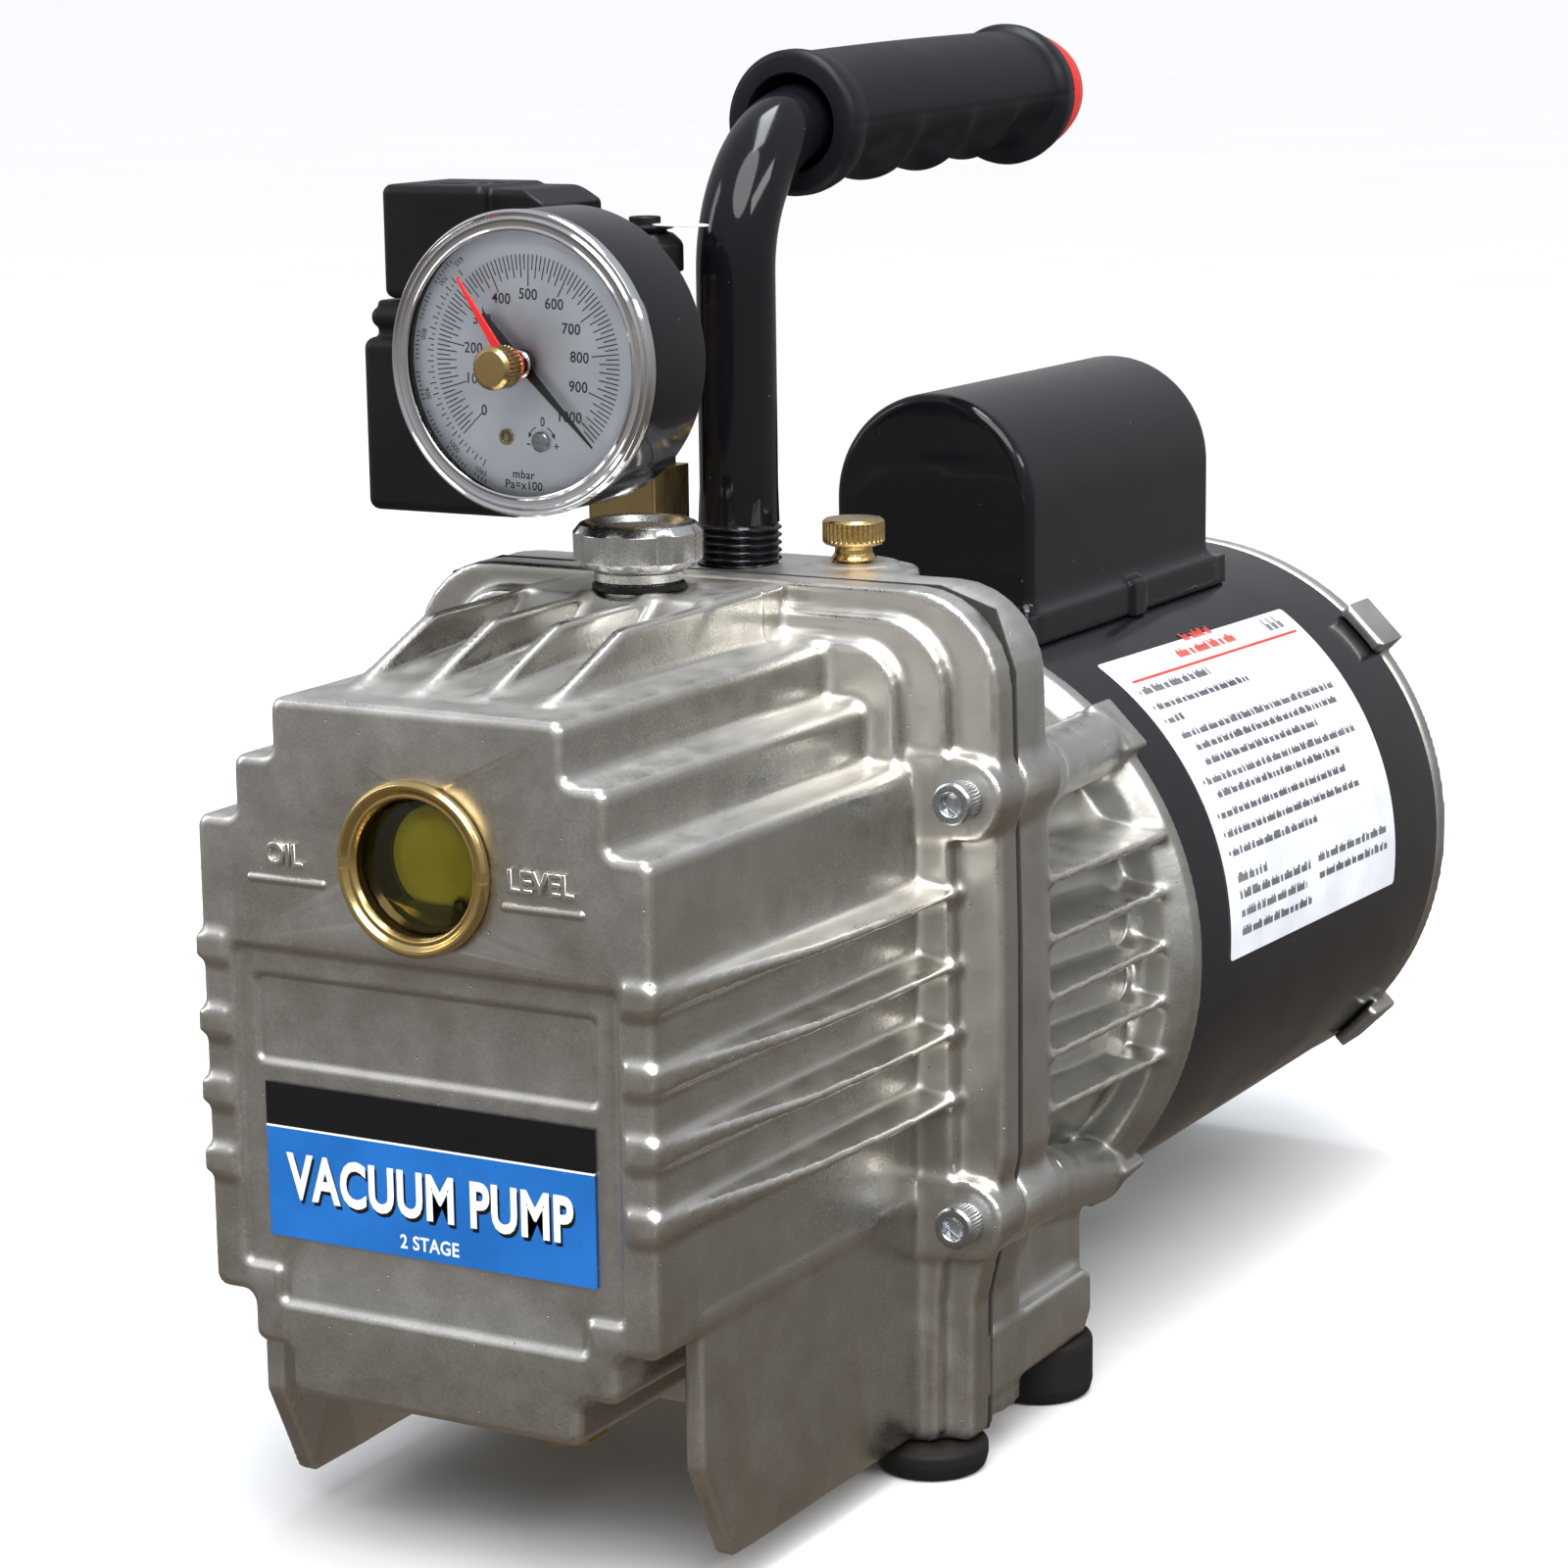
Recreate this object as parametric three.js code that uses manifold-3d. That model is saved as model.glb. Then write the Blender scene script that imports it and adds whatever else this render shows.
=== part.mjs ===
// Rotary vane vacuum pump: oil case, motor adapter, hollow handle, inlet group with gauge, and motor.
// Millimetres, +Z up. The oil case faces -Y, the motor is towards +Y, and x = 0 is the plane of symmetry.
// The origin is on the floor under the middle of the object.
import * as THREE from "three";
import { mergeVertices } from "three/addons/utils/BufferGeometryUtils.js";
import { ConvexGeometry } from "three/addons/geometries/ConvexGeometry.js";
import Module from "manifold-3d";

const wasm = await Module();
wasm.setup();

// ---- driving dimensions -------------------------------------------------------------------------

const FACE = -201.3; // y of the oil case's front face, which centres the whole object on y = 0
const GAP = 0.3; // clearance between pieces that touch

// oil case: half-widths and heights of the stepped front outline
const CASE = { wide: 56, mid: 45.8, top: 35.8, zTop: 191, zMid: 178.2, zWide: 164.5 };
const CASE_FOOT = { mid: 46, low: 36.5, zWide: 60, zMid: 49, zLow: 38.5 };
const CASE_WALL = 5;
const PLATE_Z = 203; // top plate that carries the oil cap
const RIB_X = [-24, -8, 8, 24];
const RIB_HALF = 1.3;
const FIN_Z = [135.8, 119.3, 103.9, 88.5];
const FIN_HALF = 1.7;
const CASE_BOTTOM = 7; // lowest edge of the case's flange and side skids

// flange of the oil case: three nested arches, each set further back
const FLANGE = [
  { half: 57, foot: 55, top: 191.5, radius: 9, y: 106 },
  { half: 67, foot: 63, top: 197.3, radius: 13, y: 110 },
  { half: 78, foot: 70, top: 203, radius: 18, y: 114 },
];
const FLANGE_BACK = 122.5;
const GASKET = 0.8;

// motor and its adapter, measured back from the front face
const AXIS_Z = 97.1;
const MOTOR_R = 80;
const ADAPTER_FRONT = FLANGE_BACK + GASKET + 2 * GAP;
const RIM_BACK = 141;
const RING_FRONT = 211;
const RING_BACK = 221;
const SHELL_BACK = 388;
const BELL_BACK = 403;
const BARREL_R = 67;
const ADAPTER_FIN_FRONT_Z = [134.5, 120.5, 106.8, 93.4, 80.5];
const ADAPTER_FIN_BACK_Z = [130, 116, 102.4, 88.6, 74.7];

// the four cap screws that hold the case to the adapter
const SCREW = { x: 70, zHigh: 157.9, zLow: 61.1, headR: 4.8, headY: 103.8, headH: 6, pad: 9.4 };

// feet
const FOOT_R = 13.2;
const FRONT_FEET = { x: 58.4, y: 115.5 };
const BACK_FEET = { x: 58.8, y: 171.2, z: 15 };
const REAR_FOOT = { x: 0, y: 283 };

// handle
const TUBE_R = 9.1;
const HANDLE = { y: 135, bendR: 33, z: 302.5, rise: 1.5, gripFront: 161, gripBack: 290, gripR: 16.3 };

// oil filler cap, gas ballast knob and sight glass
const OIL_CAP = { y: 90, r: 14.5, z: 204.6, height: 14, neckR: 9.9 };
const BALLAST = { x: 25.6, y: 143, r: 7.2 };
const SIGHT = { z: 157.8, r: 18.5, glass: 14.4, bore: 15.2 };

// inlet group
const INLET = { x: -13, y: 117 }; // axis of the inlet fitting and its cap
const MANIFOLD = { boreX: -14.5, boreY: 116, boreR: 3.5, left: -24.8, front: 109, z0: 212, z1: 263 };
const MANIFOLD_FOOT = { right: -7.2, back: 125, top: 227 };
const MANIFOLD_POST = { right: -8.4, front: 109.6, back: 121, top: 250 };
const MANIFOLD_HEAD = { left: -26.5, right: -4.5, back: 125 };
const COIL_Y = 116;
const COIL_Z = 235.5;
const COIL = { x0: -79.4, x1: -37, y0: 99, y1: 133, z0: 215.5, z1: 255.5 };
const CONNECTOR = { x0: -73.5, x1: -30.5, y0: 100, y1: 128, z0: 264.5, z1: 290.5 };
const GAUGE = { x: -9.8, z: 255.4, front: 58, dial: 62, back: 85, r: 32.9, caseR: 32.6, dialR: 29.6 };
const ZERO_SCREW = { x: 3.2, z: -16.8 }; // from the centre of the dial
const POINTER_KNOB = { front: 47.2, back: 53.7, r: 4.6, stemR: 1.9 };

// motor: shell, capacitor cover and the fittings in the rear end bell
const SHELL_R = MOTOR_R - 0.9;
const SHELL_WALL = 1.6;
const COVER = { half: 27.7, y0: 232, y1: 344, top: 232.6, foot: 165 };
const BEARING_R = 16;
const SHAFT_R = 8;
const LUG_ANGLES = [45, 135, 225, 315];
const SWITCH = { x: 38, z: 70, halfX: 6.5, halfZ: 10.5 };
const GLAND = { x: -38, z: 70, r: 7 };

// pump stage inside the oil case, driven by a stub shaft and a coupling
const STAGE = { outerR: 40, boreR: 26, rise: 3, rotorR: 22.4, y0: 68, y1: 116 };
const VANE = { inner: 7.2, outer: 22.2, half: 1.7 };
const STUB_R = 6;
const DRAIN = { x: 24, y: 16 };

// ---- helpers ------------------------------------------------------------------------------------

// A closed geometry as a solid for joining and cutting.
function solid(geometry) {
  const bare = geometry.index ? geometry.toNonIndexed() : geometry.clone();
  bare.deleteAttribute("normal");
  bare.deleteAttribute("uv");
  const merged = mergeVertices(bare, 1e-4);
  const vertProperties = new Float32Array(merged.attributes.position.array);
  const triVerts = new Uint32Array(merged.index.array);
  const made = new wasm.Manifold(new wasm.Mesh({ numProp: 3, vertProperties, triVerts }));
  if (made.volume() > 0) return made;
  for (let i = 0; i < triVerts.length; i += 3) {
    [triVerts[i + 1], triVerts[i + 2]] = [triVerts[i + 2], triVerts[i + 1]];
  }
  return new wasm.Manifold(new wasm.Mesh({ numProp: 3, vertProperties, triVerts }));
}

function geometryOf(manifold) {
  const mesh = manifold.getMesh();
  const geometry = new THREE.BufferGeometry();
  geometry.setAttribute("position", new THREE.BufferAttribute(mesh.vertProperties, 3));
  geometry.setIndex(new THREE.BufferAttribute(mesh.triVerts, 1));
  const flat = geometry.toNonIndexed();
  flat.computeVertexNormals();
  return flat;
}

const join = (...pieces) => pieces.flat().reduce((sum, piece) => sum.add(piece));
const cut = (body, ...tools) => tools.flat().reduce((left, tool) => left.subtract(tool), body);

// All "y" arguments below are depths behind the front face.
function box(x0, x1, y0, y1, z0, z1) {
  const geometry = new THREE.BoxGeometry(x1 - x0, y1 - y0, z1 - z0);
  return solid(geometry.translate((x0 + x1) / 2, FACE + (y0 + y1) / 2, (z0 + z1) / 2));
}

// A Shape through the points, with each corner rounded by its own radius (or the common one).
function rounded(points, radius) {
  const shape = new THREE.Shape();
  points.forEach(([x, y, own], i) => {
    const corner = new THREE.Vector2(x, y);
    const before = new THREE.Vector2(...points.at(i - 1).slice(0, 2));
    const after = new THREE.Vector2(...points[(i + 1) % points.length].slice(0, 2));
    const r = own ?? radius;
    const toBefore = before.sub(corner);
    const toAfter = after.sub(corner);
    const start = corner.clone().addScaledVector(toBefore.normalize(), r);
    const end = corner.clone().addScaledVector(toAfter.normalize(), r);
    if (i === 0) shape.moveTo(start.x, start.y);
    else shape.lineTo(start.x, start.y);
    if (r > 0) shape.quadraticCurveTo(corner.x, corner.y, end.x, end.y);
  });
  shape.closePath();
  return shape;
}

const rectangle = (x0, x1, y0, y1, corner) => rounded([[x0, y0], [x1, y0], [x1, y1], [x0, y1]], corner);

// An outline in (x, z), pushed along +Y from depth y0 to y1.
function prismY(shape, y0, y1, curveSegments = 2) {
  const geometry = new THREE.ExtrudeGeometry(shape, { depth: y1 - y0, bevelEnabled: false, curveSegments });
  return solid(geometry.rotateX(Math.PI / 2).translate(0, FACE + y1, 0));
}

// An outline in (depth, z), pushed along +X from x0 to x1.
function prismX(shape, x0, x1, curveSegments = 2) {
  const geometry = new THREE.ExtrudeGeometry(shape, { depth: x1 - x0, bevelEnabled: false, curveSegments });
  const turn = new THREE.Matrix4().set(0, 0, 1, x0, 1, 0, 0, FACE, 0, 1, 0, 0, 0, 0, 0, 1);
  return solid(geometry.applyMatrix4(turn));
}

// An outline in (x, depth), pushed along +Z from z0 to z1.
function prismZ(shape, z0, z1, curveSegments = 2) {
  const geometry = new THREE.ExtrudeGeometry(shape, { depth: z1 - z0, bevelEnabled: false, curveSegments });
  return solid(geometry.translate(0, FACE, z0));
}

const point2 = ([r, h]) => new THREE.Vector2(r, h);

// Profiles are [radius, height] pairs that start and end on the axis or close on themselves.
function turnedZ(profile, x, y, segments = 20) {
  const geometry = new THREE.LatheGeometry(profile.map(point2), segments);
  return solid(geometry.rotateX(Math.PI / 2).translate(x, FACE + y, 0));
}

// The same about an axis along +Y: heights are depths behind the front face.
function turnedY(profile, x, z, segments = 32) {
  const geometry = new THREE.LatheGeometry(profile.map(point2), segments);
  return solid(geometry.translate(x, FACE, z));
}

// The same about an axis along +X: heights are x.
function turnedX(profile, y, z, segments = 20) {
  const geometry = new THREE.LatheGeometry(profile.map(point2), segments);
  return solid(geometry.rotateZ(-Math.PI / 2).translate(0, FACE + y, z));
}

const rod = (r, a, b) => [[0, a], [r, a], [r, b], [0, b]];
const sleeve = (inner, outer, a, b) => [[inner, a], [outer, a], [outer, b], [inner, b], [inner, a]];
const softRod = (r, a, b, e) => [[0, a], [r - e, a], [r, a + e], [r, b - e], [r - e, b], [0, b]];

// A straight-sided solid around a circle at depth y0 and another at depth y1.
function taperedBoss(from, to, sides = 12) {
  const points = [];
  for (const { x, y, z, r } of [from, to]) {
    for (let i = 0; i < sides; i++) {
      const a = (2 * Math.PI * i) / sides;
      points.push(new THREE.Vector3(x + r * Math.cos(a), FACE + y, z + r * Math.sin(a)));
    }
  }
  return solid(new ConvexGeometry(points));
}

// Moves points of a solid outwards from x = 0 in step with their depth, as the draft of a casting.
function drafted(manifold, perDepth) {
  return manifold.warp((v) => {
    v[0] += Math.sign(v[0]) * perDepth * (v[1] - FACE) * Math.min(1, Math.abs(v[0]) / 30);
  });
}

const pump = new THREE.Group();
pump.name = "rotary_vane_vacuum_pump";

function add(name, manifold, { color, roughness, metalness = 0, ...more }) {
  const material = new THREE.MeshStandardMaterial({ color, roughness, metalness, ...more });
  const mesh = new THREE.Mesh(geometryOf(manifold), material);
  mesh.name = name;
  pump.add(mesh);
}

const CAST = { color: 0xa8a39a, roughness: 0.42, metalness: 0.9 };
const BRASS = { color: 0xb08d4a, roughness: 0.3, metalness: 1 };
const STEEL = { color: 0xb9bcc0, roughness: 0.3, metalness: 1 };
const BLACK_PAINT = { color: 0x0a0a0b, roughness: 0.15 };
const BLACK_RUBBER = { color: 0x141414, roughness: 0.75 };
const BLACK_PLASTIC = { color: 0x121314, roughness: 0.5 };
const GREY_PAINT = { color: 0x9a9a97, roughness: 0.45, metalness: 0.4 };

// ---- oil case -----------------------------------------------------------------------------------

// The stepped outline of the front of the case, inset on all sides by "inset".
function caseOutline(inset, radius) {
  const right = [
    [CASE_FOOT.low - inset, CASE_FOOT.zLow + inset],
    [CASE_FOOT.low - inset, CASE_FOOT.zMid + inset],
    [CASE_FOOT.mid - inset, CASE_FOOT.zMid + inset],
    [CASE_FOOT.mid - inset, CASE_FOOT.zWide + inset],
    [CASE.wide - inset, CASE_FOOT.zWide + inset],
    [CASE.wide - inset, CASE.zWide - inset],
    [CASE.mid - inset, CASE.zWide - inset],
    [CASE.mid - inset, CASE.zMid - inset],
    [CASE.top - inset, CASE.zMid - inset],
    [CASE.top - inset, CASE.zTop - inset],
  ];
  const left = right.map(([x, z]) => [-x, z]).reverse();
  return rounded([...right, ...left], radius);
}

// One arch of the flange: straight foot, sides that lean out to the middle, and round top corners.
function archOutline({ half, foot, top, radius }, bottom = CASE_BOTTOM) {
  const right = [
    [foot, bottom, 3],
    [foot + 0.3, 40, 2],
    [half, 75, 2],
    [half, 125, 2],
    [half - 2, top, radius],
  ];
  const left = right.map(([x, z, r]) => [-x, z, r]).reverse();
  return rounded([...right, ...left], 2);
}

const SCREW_PLACES = [
  ["top_right", 1, SCREW.zHigh],
  ["top_left", -1, SCREW.zHigh],
  ["bottom_right", 1, SCREW.zLow],
  ["bottom_left", -1, SCREW.zLow],
];

function oilCase() {
  const body = drafted(prismY(caseOutline(0, 2.6), 0, FLANGE[0].y + 1), 0.018);
  const hump = prismX(
    rounded([[9, 184], [12, 191, 2], [76, 195.5], [78, PLATE_Z, 1], [110, PLATE_Z], [110, 184]], 0),
    RIB_X[0] - RIB_HALF,
    RIB_X[3] + RIB_HALF,
  );
  const ribOutline = rounded([[10, 186], [14, 191.2, 1], [42, PLATE_Z, 6], [95, PLATE_Z], [95, 186]], 0);
  const ribs = RIB_X.map((x) => prismX(ribOutline, x - RIB_HALF, x + RIB_HALF));
  const fins = [];
  const skids = [];
  for (const side of [1, -1]) {
    const finOutline = rounded([[52, -0.6], [57, -0.6, 0.5], [63, 44, 8], [65.5, 112], [52, 112]], 0);
    for (const z of FIN_Z) {
      const fin = prismZ(finOutline, z - FIN_HALF, z + FIN_HALF);
      fins.push(side > 0 ? fin : fin.mirror([1, 0, 0]));
    }
    const skidOutline = rounded(
      [[17, 63], [17, 31, 2], [28, CASE_BOTTOM + 1.5, 3], [112, CASE_BOTTOM + 1.5], [112, 63]], 0);
    const skid = prismX(skidOutline, CASE.wide - 5 + 0.8, CASE.wide + 0.8);
    skids.push(side > 0 ? skid : skid.mirror([1, 0, 0]));
  }
  const arches = FLANGE.map((arch) => prismY(archOutline(arch), arch.y, FLANGE_BACK));
  const pads = SCREW_PLACES.map(([, side, z]) =>
    join(
      turnedY(rod(SCREW.pad, FLANGE[1].y, FLANGE_BACK), side * SCREW.x, z, 20),
      box(side > 0 ? 60 : -70, side > 0 ? 70 : -60, FLANGE[1].y, FLANGE_BACK, z - SCREW.pad, z + SCREW.pad),
    ),
  );
  const recess = rounded([[-38.5, 59], [38.5, 59], [38.5, 66.7], [47.4, 66.7], [47.4, 136.8],
    [-47.4, 136.8], [-47.4, 66.7], [-38.5, 66.7]], 1.5);
  const nameRecess = rounded([[-43, 112], [41.5, 112], [41.5, 130.5], [-43, 130.5]], 1.5);
  const hollow = [
    prismY(caseOutline(CASE_WALL, 2), CASE_WALL + 2, FLANGE_BACK + 1, 2),
    turnedY(rod(SIGHT.bore, -1, CASE_WALL + 3), 0, SIGHT.z),
    turnedZ(rod(10.2, 180, PLATE_Z + 5), 0, OIL_CAP.y),
    prismY(recess, -1, 1.5),
    prismY(nameRecess, 0, 2.4),
    ...SCREW_PLACES.map(([, side, z]) => turnedY(rod(3.5, 100, 125), side * SCREW.x, z, 16)),
    turnedZ(rod(6.3, CASE_FOOT.zLow - 2, CASE_FOOT.zLow + 8), DRAIN.x, DRAIN.y, 18),
  ];
  return cut(join(body, hump, ribs, fins, skids, arches, pads), hollow);
}

add("oil_case", oilCase(), CAST);

function caseGasket() {
  const y0 = FLANGE_BACK + GAP;
  const sheet = prismY(archOutline(FLANGE[2]), y0, y0 + GASKET);
  const opening = prismY(caseOutline(CASE_WALL - 1, 2), y0 - 1, y0 + 2, 2);
  const holes = SCREW_PLACES.map(([, side, z]) => turnedY(rod(3.5, y0 - 1, y0 + 2), side * SCREW.x, z, 12));
  return cut(sheet, opening, holes);
}
add("case_gasket", caseGasket(), { color: 0x2c2a26, roughness: 0.8 });

function capScrew(side, z) {
  const y = SCREW.headY;
  const under = y + SCREW.headH - 0.1;
  const profile = [[0, y + 3.4], [2.6, y + 3.4], [2.6, y], [SCREW.headR - 0.5, y], [SCREW.headR, y + 0.5],
    [SCREW.headR, under], [3.1, under], [3.1, 150], [0, 150]];
  return turnedY(profile, side * SCREW.x, z, 18);
}
for (const [place, side, z] of SCREW_PLACES) add(`case_screw_${place}`, capScrew(side, z), STEEL);

// ---- sight glass, label, drain ------------------------------------------------------------------

function sightBezel() {
  const { r, glass } = SIGHT;
  const ring = turnedY([[glass, -1.2], [glass + 0.6, -2.6], [r - 1, -2.6], [r, -1.6], [r, -GAP],
    [SIGHT.bore - GAP, -GAP], [SIGHT.bore - GAP, 7], [glass, 7], [glass, -1.2]], 0, SIGHT.z, 28);
  const slots = box(-r - 2, r + 2, -4, -1.5, SIGHT.z - 1.2, SIGHT.z + 1.2);
  return cut(ring, slots);
}
add("sight_glass_bezel", sightBezel(), BRASS);
add("sight_glass_lens", turnedY(rod(SIGHT.glass - GAP, 1.5, 6), 0, SIGHT.z, 32),
  { color: 0x8d8f3a, roughness: 0.08, transparent: true, opacity: 0.6 });

add("front_label", box(-41, 41, 0.7, 1.2, 73.6, 107.6), { color: 0x0b5aa6, roughness: 0.35 });

add("drain_plug", join(
  turnedZ(rod(5.9, CASE_FOOT.zLow - 0.8, CASE_FOOT.zLow + 7), DRAIN.x, DRAIN.y, 18),
  turnedZ(softRod(8, CASE_FOOT.zLow - 4.5, CASE_FOOT.zLow - GAP, 1), DRAIN.x, DRAIN.y, 6),
), BRASS);

// ---- oil filler cap -----------------------------------------------------------------------------

function oilFillCap() {
  const { y, r, z, height, neckR } = OIL_CAP;
  const top = z + height;
  const plugR = neckR - 0.5;
  const body = turnedZ([[0, z - 14], [plugR - 0.8, z - 14], [plugR, z - 13], [plugR, z + 0.6],
    [neckR - 0.3, z + 0.6],
    [neckR, z + 1], [neckR, z + 3.2], [r - 2.2, z + 4], [r, z + 5.6], [r, top - 1.9], [r - 1.7, top],
      [r - 5, top],
    [r - 6, top - 1.4], [0, top - 1.8]], 0, y, 32);
  const scallops = [];
  const count = 8;
  const firstAngle = (10.6 * Math.PI) / 180;
  const scallopR = 4.6;
  const away = r + scallopR - 1;
  for (let i = 0; i < count; i++) {
    const angle = firstAngle + (2 * Math.PI * i) / count;
    const scallop = turnedZ(rod(scallopR, z + 3, top + 1), away * Math.cos(angle),
      y + away * Math.sin(angle), 12);
    scallops.push(scallop);
  }
  return cut(body, scallops);
}
add("oil_fill_cap", oilFillCap(), { color: 0xbfc1c3, roughness: 0.25, metalness: 1 });

const SEAL = { inner: OIL_CAP.neckR - 0.2, outer: OIL_CAP.neckR + 0.6, z0: PLATE_Z + GAP,
  z1: OIL_CAP.z + 0.3 };
add("oil_cap_seal", turnedZ([[SEAL.inner, SEAL.z0], [SEAL.outer - 0.3, SEAL.z0], [SEAL.outer, SEAL.z0 + 0.4],
  [SEAL.outer, SEAL.z1 - 0.4], [SEAL.outer - 0.3, SEAL.z1], [SEAL.inner, SEAL.z1], [SEAL.inner, SEAL.z0]],
0, OIL_CAP.y, 28), { color: 0x0c0c0c, roughness: 0.6 });

// ---- motor adapter ------------------------------------------------------------------------------

function adapterFin(side, i) {
  const points = [];
  const half = 1.5;
  const ends = [[ADAPTER_FRONT + 14, 78.5, ADAPTER_FIN_FRONT_Z[i]], [RING_FRONT + 3, 73.6,
    ADAPTER_FIN_BACK_Z[i]]];
  for (const [y, x, z] of ends) {
    for (const dz of [-half, half]) {
      points.push(new THREE.Vector3(side * x, FACE + y, z + dz * 0.8));
      points.push(new THREE.Vector3(side * 55, FACE + y, z + dz * 1.3));
    }
  }
  return solid(new ConvexGeometry(points));
}

function adapterSlots(side) {
  const slots = [];
  for (let i = 0; i < 4; i++) {
    const high = ADAPTER_FIN_FRONT_Z[i] - 2.6;
    const low = ADAPTER_FIN_FRONT_Z[i + 1] + 2.6;
    slots.push(side > 0 ? box(50, 90, RIM_BACK + 1, RIM_BACK + 13, low, high)
      : box(-90, -50, RIM_BACK + 1, RIM_BACK + 13, low, high));
  }
  return slots;
}

// The four square lugs on a motor casting's rim.
function motorLugs(y0, y1) {
  return LUG_ANGLES.map((angle) =>
    box(MOTOR_R - 7, MOTOR_R + 3, y0, y1, -7.5, 7.5).rotate([0, -angle, 0]).translate([0, 0, AXIS_Z]),
  );
}

function motorAdapter() {
  const rim = prismY(archOutline(FLANGE[2]), ADAPTER_FRONT, RIM_BACK);
  const deck = prismZ(rounded([[-42, RIM_BACK - 2], [42, RIM_BACK - 2], [40, 156, 9], [-40, 156, 9]], 0),
    176, PLATE_Z - 0.2);
  const ballastPad = turnedZ(rod(10.5, 190, PLATE_Z + 1), BALLAST.x, BALLAST.y, 24);
  const barrel = turnedY(rod(BARREL_R, RIM_BACK - 1, RING_FRONT + 2), 0, AXIS_Z, 32);
  const ring = turnedY([[0, RING_FRONT], [MOTOR_R - 4, RING_FRONT], [MOTOR_R, RING_FRONT + 4], [MOTOR_R,
    RING_BACK],
    [0, RING_BACK]], 0, AXIS_Z, 48);
  const bosses = SCREW_PLACES.map(([, side, z]) => taperedBoss(
    { x: side * SCREW.x, y: ADAPTER_FRONT, z, r: SCREW.pad },
    { x: side * 53, y: RING_FRONT + 1, z: AXIS_Z + Math.sign(z - AXIS_Z) * 53, r: 8 },
  ));
  const lugs = motorLugs(RING_FRONT, RING_BACK + 3);
  const base = prismX(rounded([[ADAPTER_FRONT, 15], [174, 15, 2], [178, 20, 2], [178, 29, 2], [174, 31],
    [ADAPTER_FRONT, 31]], 0),
    -70, 70);
  const cheeks = [1, -1].map((side) => {
    const cheek = prismX(rounded([[ADAPTER_FRONT, 28], [179, 28], [179, 50, 3], [160, 66], [ADAPTER_FRONT,
      66]], 0), 59, 66.5);
    return side > 0 ? cheek : cheek.mirror([1, 0, 0]);
  });
  const bridge = box(-60, 60, RIM_BACK - 2, 176, 26, 50);
  const fins = [1, -1].flatMap((side) => ADAPTER_FIN_FRONT_Z.map((_, i) => adapterFin(side, i)));
  const hollow = [
    turnedY(rod(BARREL_R - 7, RIM_BACK + 2, RING_FRONT - 5), 0, AXIS_Z, 28),
    turnedY(rod(13, ADAPTER_FRONT - 1, RIM_BACK + 3), 0, AXIS_Z, 16),
    turnedY(rod(16.5, RING_FRONT - 6, RING_BACK + 1), 0, AXIS_Z, 28),
    turnedY(sleeve(30, 72, RING_FRONT + 6, RING_BACK + 1), 0, AXIS_Z, 32),
    turnedY(sleeve(70, SHELL_R + GAP, RING_BACK, RING_BACK + 4), 0, AXIS_Z, 48),
    ...adapterSlots(1),
    ...adapterSlots(-1),
    ...SCREW_PLACES.map(([, side, z]) => turnedY(rod(3.5, 120, 154), side * SCREW.x, z, 14)),
    turnedZ(rod(TUBE_R + GAP, 188, PLATE_Z + 2), 0, HANDLE.y, 28),
    turnedZ(rod(4.3, 190, PLATE_Z + 2), BALLAST.x, BALLAST.y, 18),
  ];
  return cut(join(rim, deck, ballastPad, barrel, ring, bosses, lugs, base, cheeks, bridge, fins), hollow);
}
add("motor_adapter", motorAdapter(), CAST);

// ---- feet ---------------------------------------------------------------------------------------

const foot = (x, y, top) => turnedZ(softRod(FOOT_R, 0, top, 1.5), x, y, 20);
for (const [name, side] of [["right", 1], ["left", -1]]) {
  add(`front_foot_${name}`, foot(side * FRONT_FEET.x, FRONT_FEET.y, CASE_BOTTOM - GAP), BLACK_RUBBER);
  add(`back_foot_${name}`, foot(side * BACK_FEET.x, BACK_FEET.y, BACK_FEET.z - GAP), BLACK_RUBBER);
}
add("motor_foot", turnedZ([[0, 0], [FOOT_R - 4, 0], [FOOT_R - 1, 1.4], [FOOT_R, 4.5], [FOOT_R,
  AXIS_Z - MOTOR_R - 0.4],
  [0, AXIS_Z - MOTOR_R - 0.4]], REAR_FOOT.x, REAR_FOOT.y, 28), BLACK_RUBBER);

// ---- handle -------------------------------------------------------------------------------------

// The handle rises a little towards its back. This leans a solid that was made level by that rise.
function risen(solid) {
  const { y, bendR, z, rise } = HANDLE;
  const pivot = FACE + y + bendR;
  return solid.translate([0, -pivot, -z]).rotate([rise, 0, 0]).translate([0, pivot, z]);
}

// The bent handle pipe: up from the adapter, round a bend, and back along the grip.
function handlePath() {
  const { y, bendR, z, rise, gripBack } = HANDLE;
  const path = new THREE.CurvePath();
  const at = (depth, height) => new THREE.Vector3(0, FACE + depth, height);
  const slope = Math.tan((rise * Math.PI) / 180);
  const along = (depth) => at(depth, z + (depth - y - bendR) * slope);
  path.add(new THREE.LineCurve3(at(y, 192), at(y, z - bendR)));
  path.add(new THREE.CubicBezierCurve3(at(y, z - bendR), at(y, z - bendR * 0.45), along(y + bendR * 0.45),
    along(y + bendR)));
  path.add(new THREE.LineCurve3(along(y + bendR), along(gripBack - 5)));
  return path;
}

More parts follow.
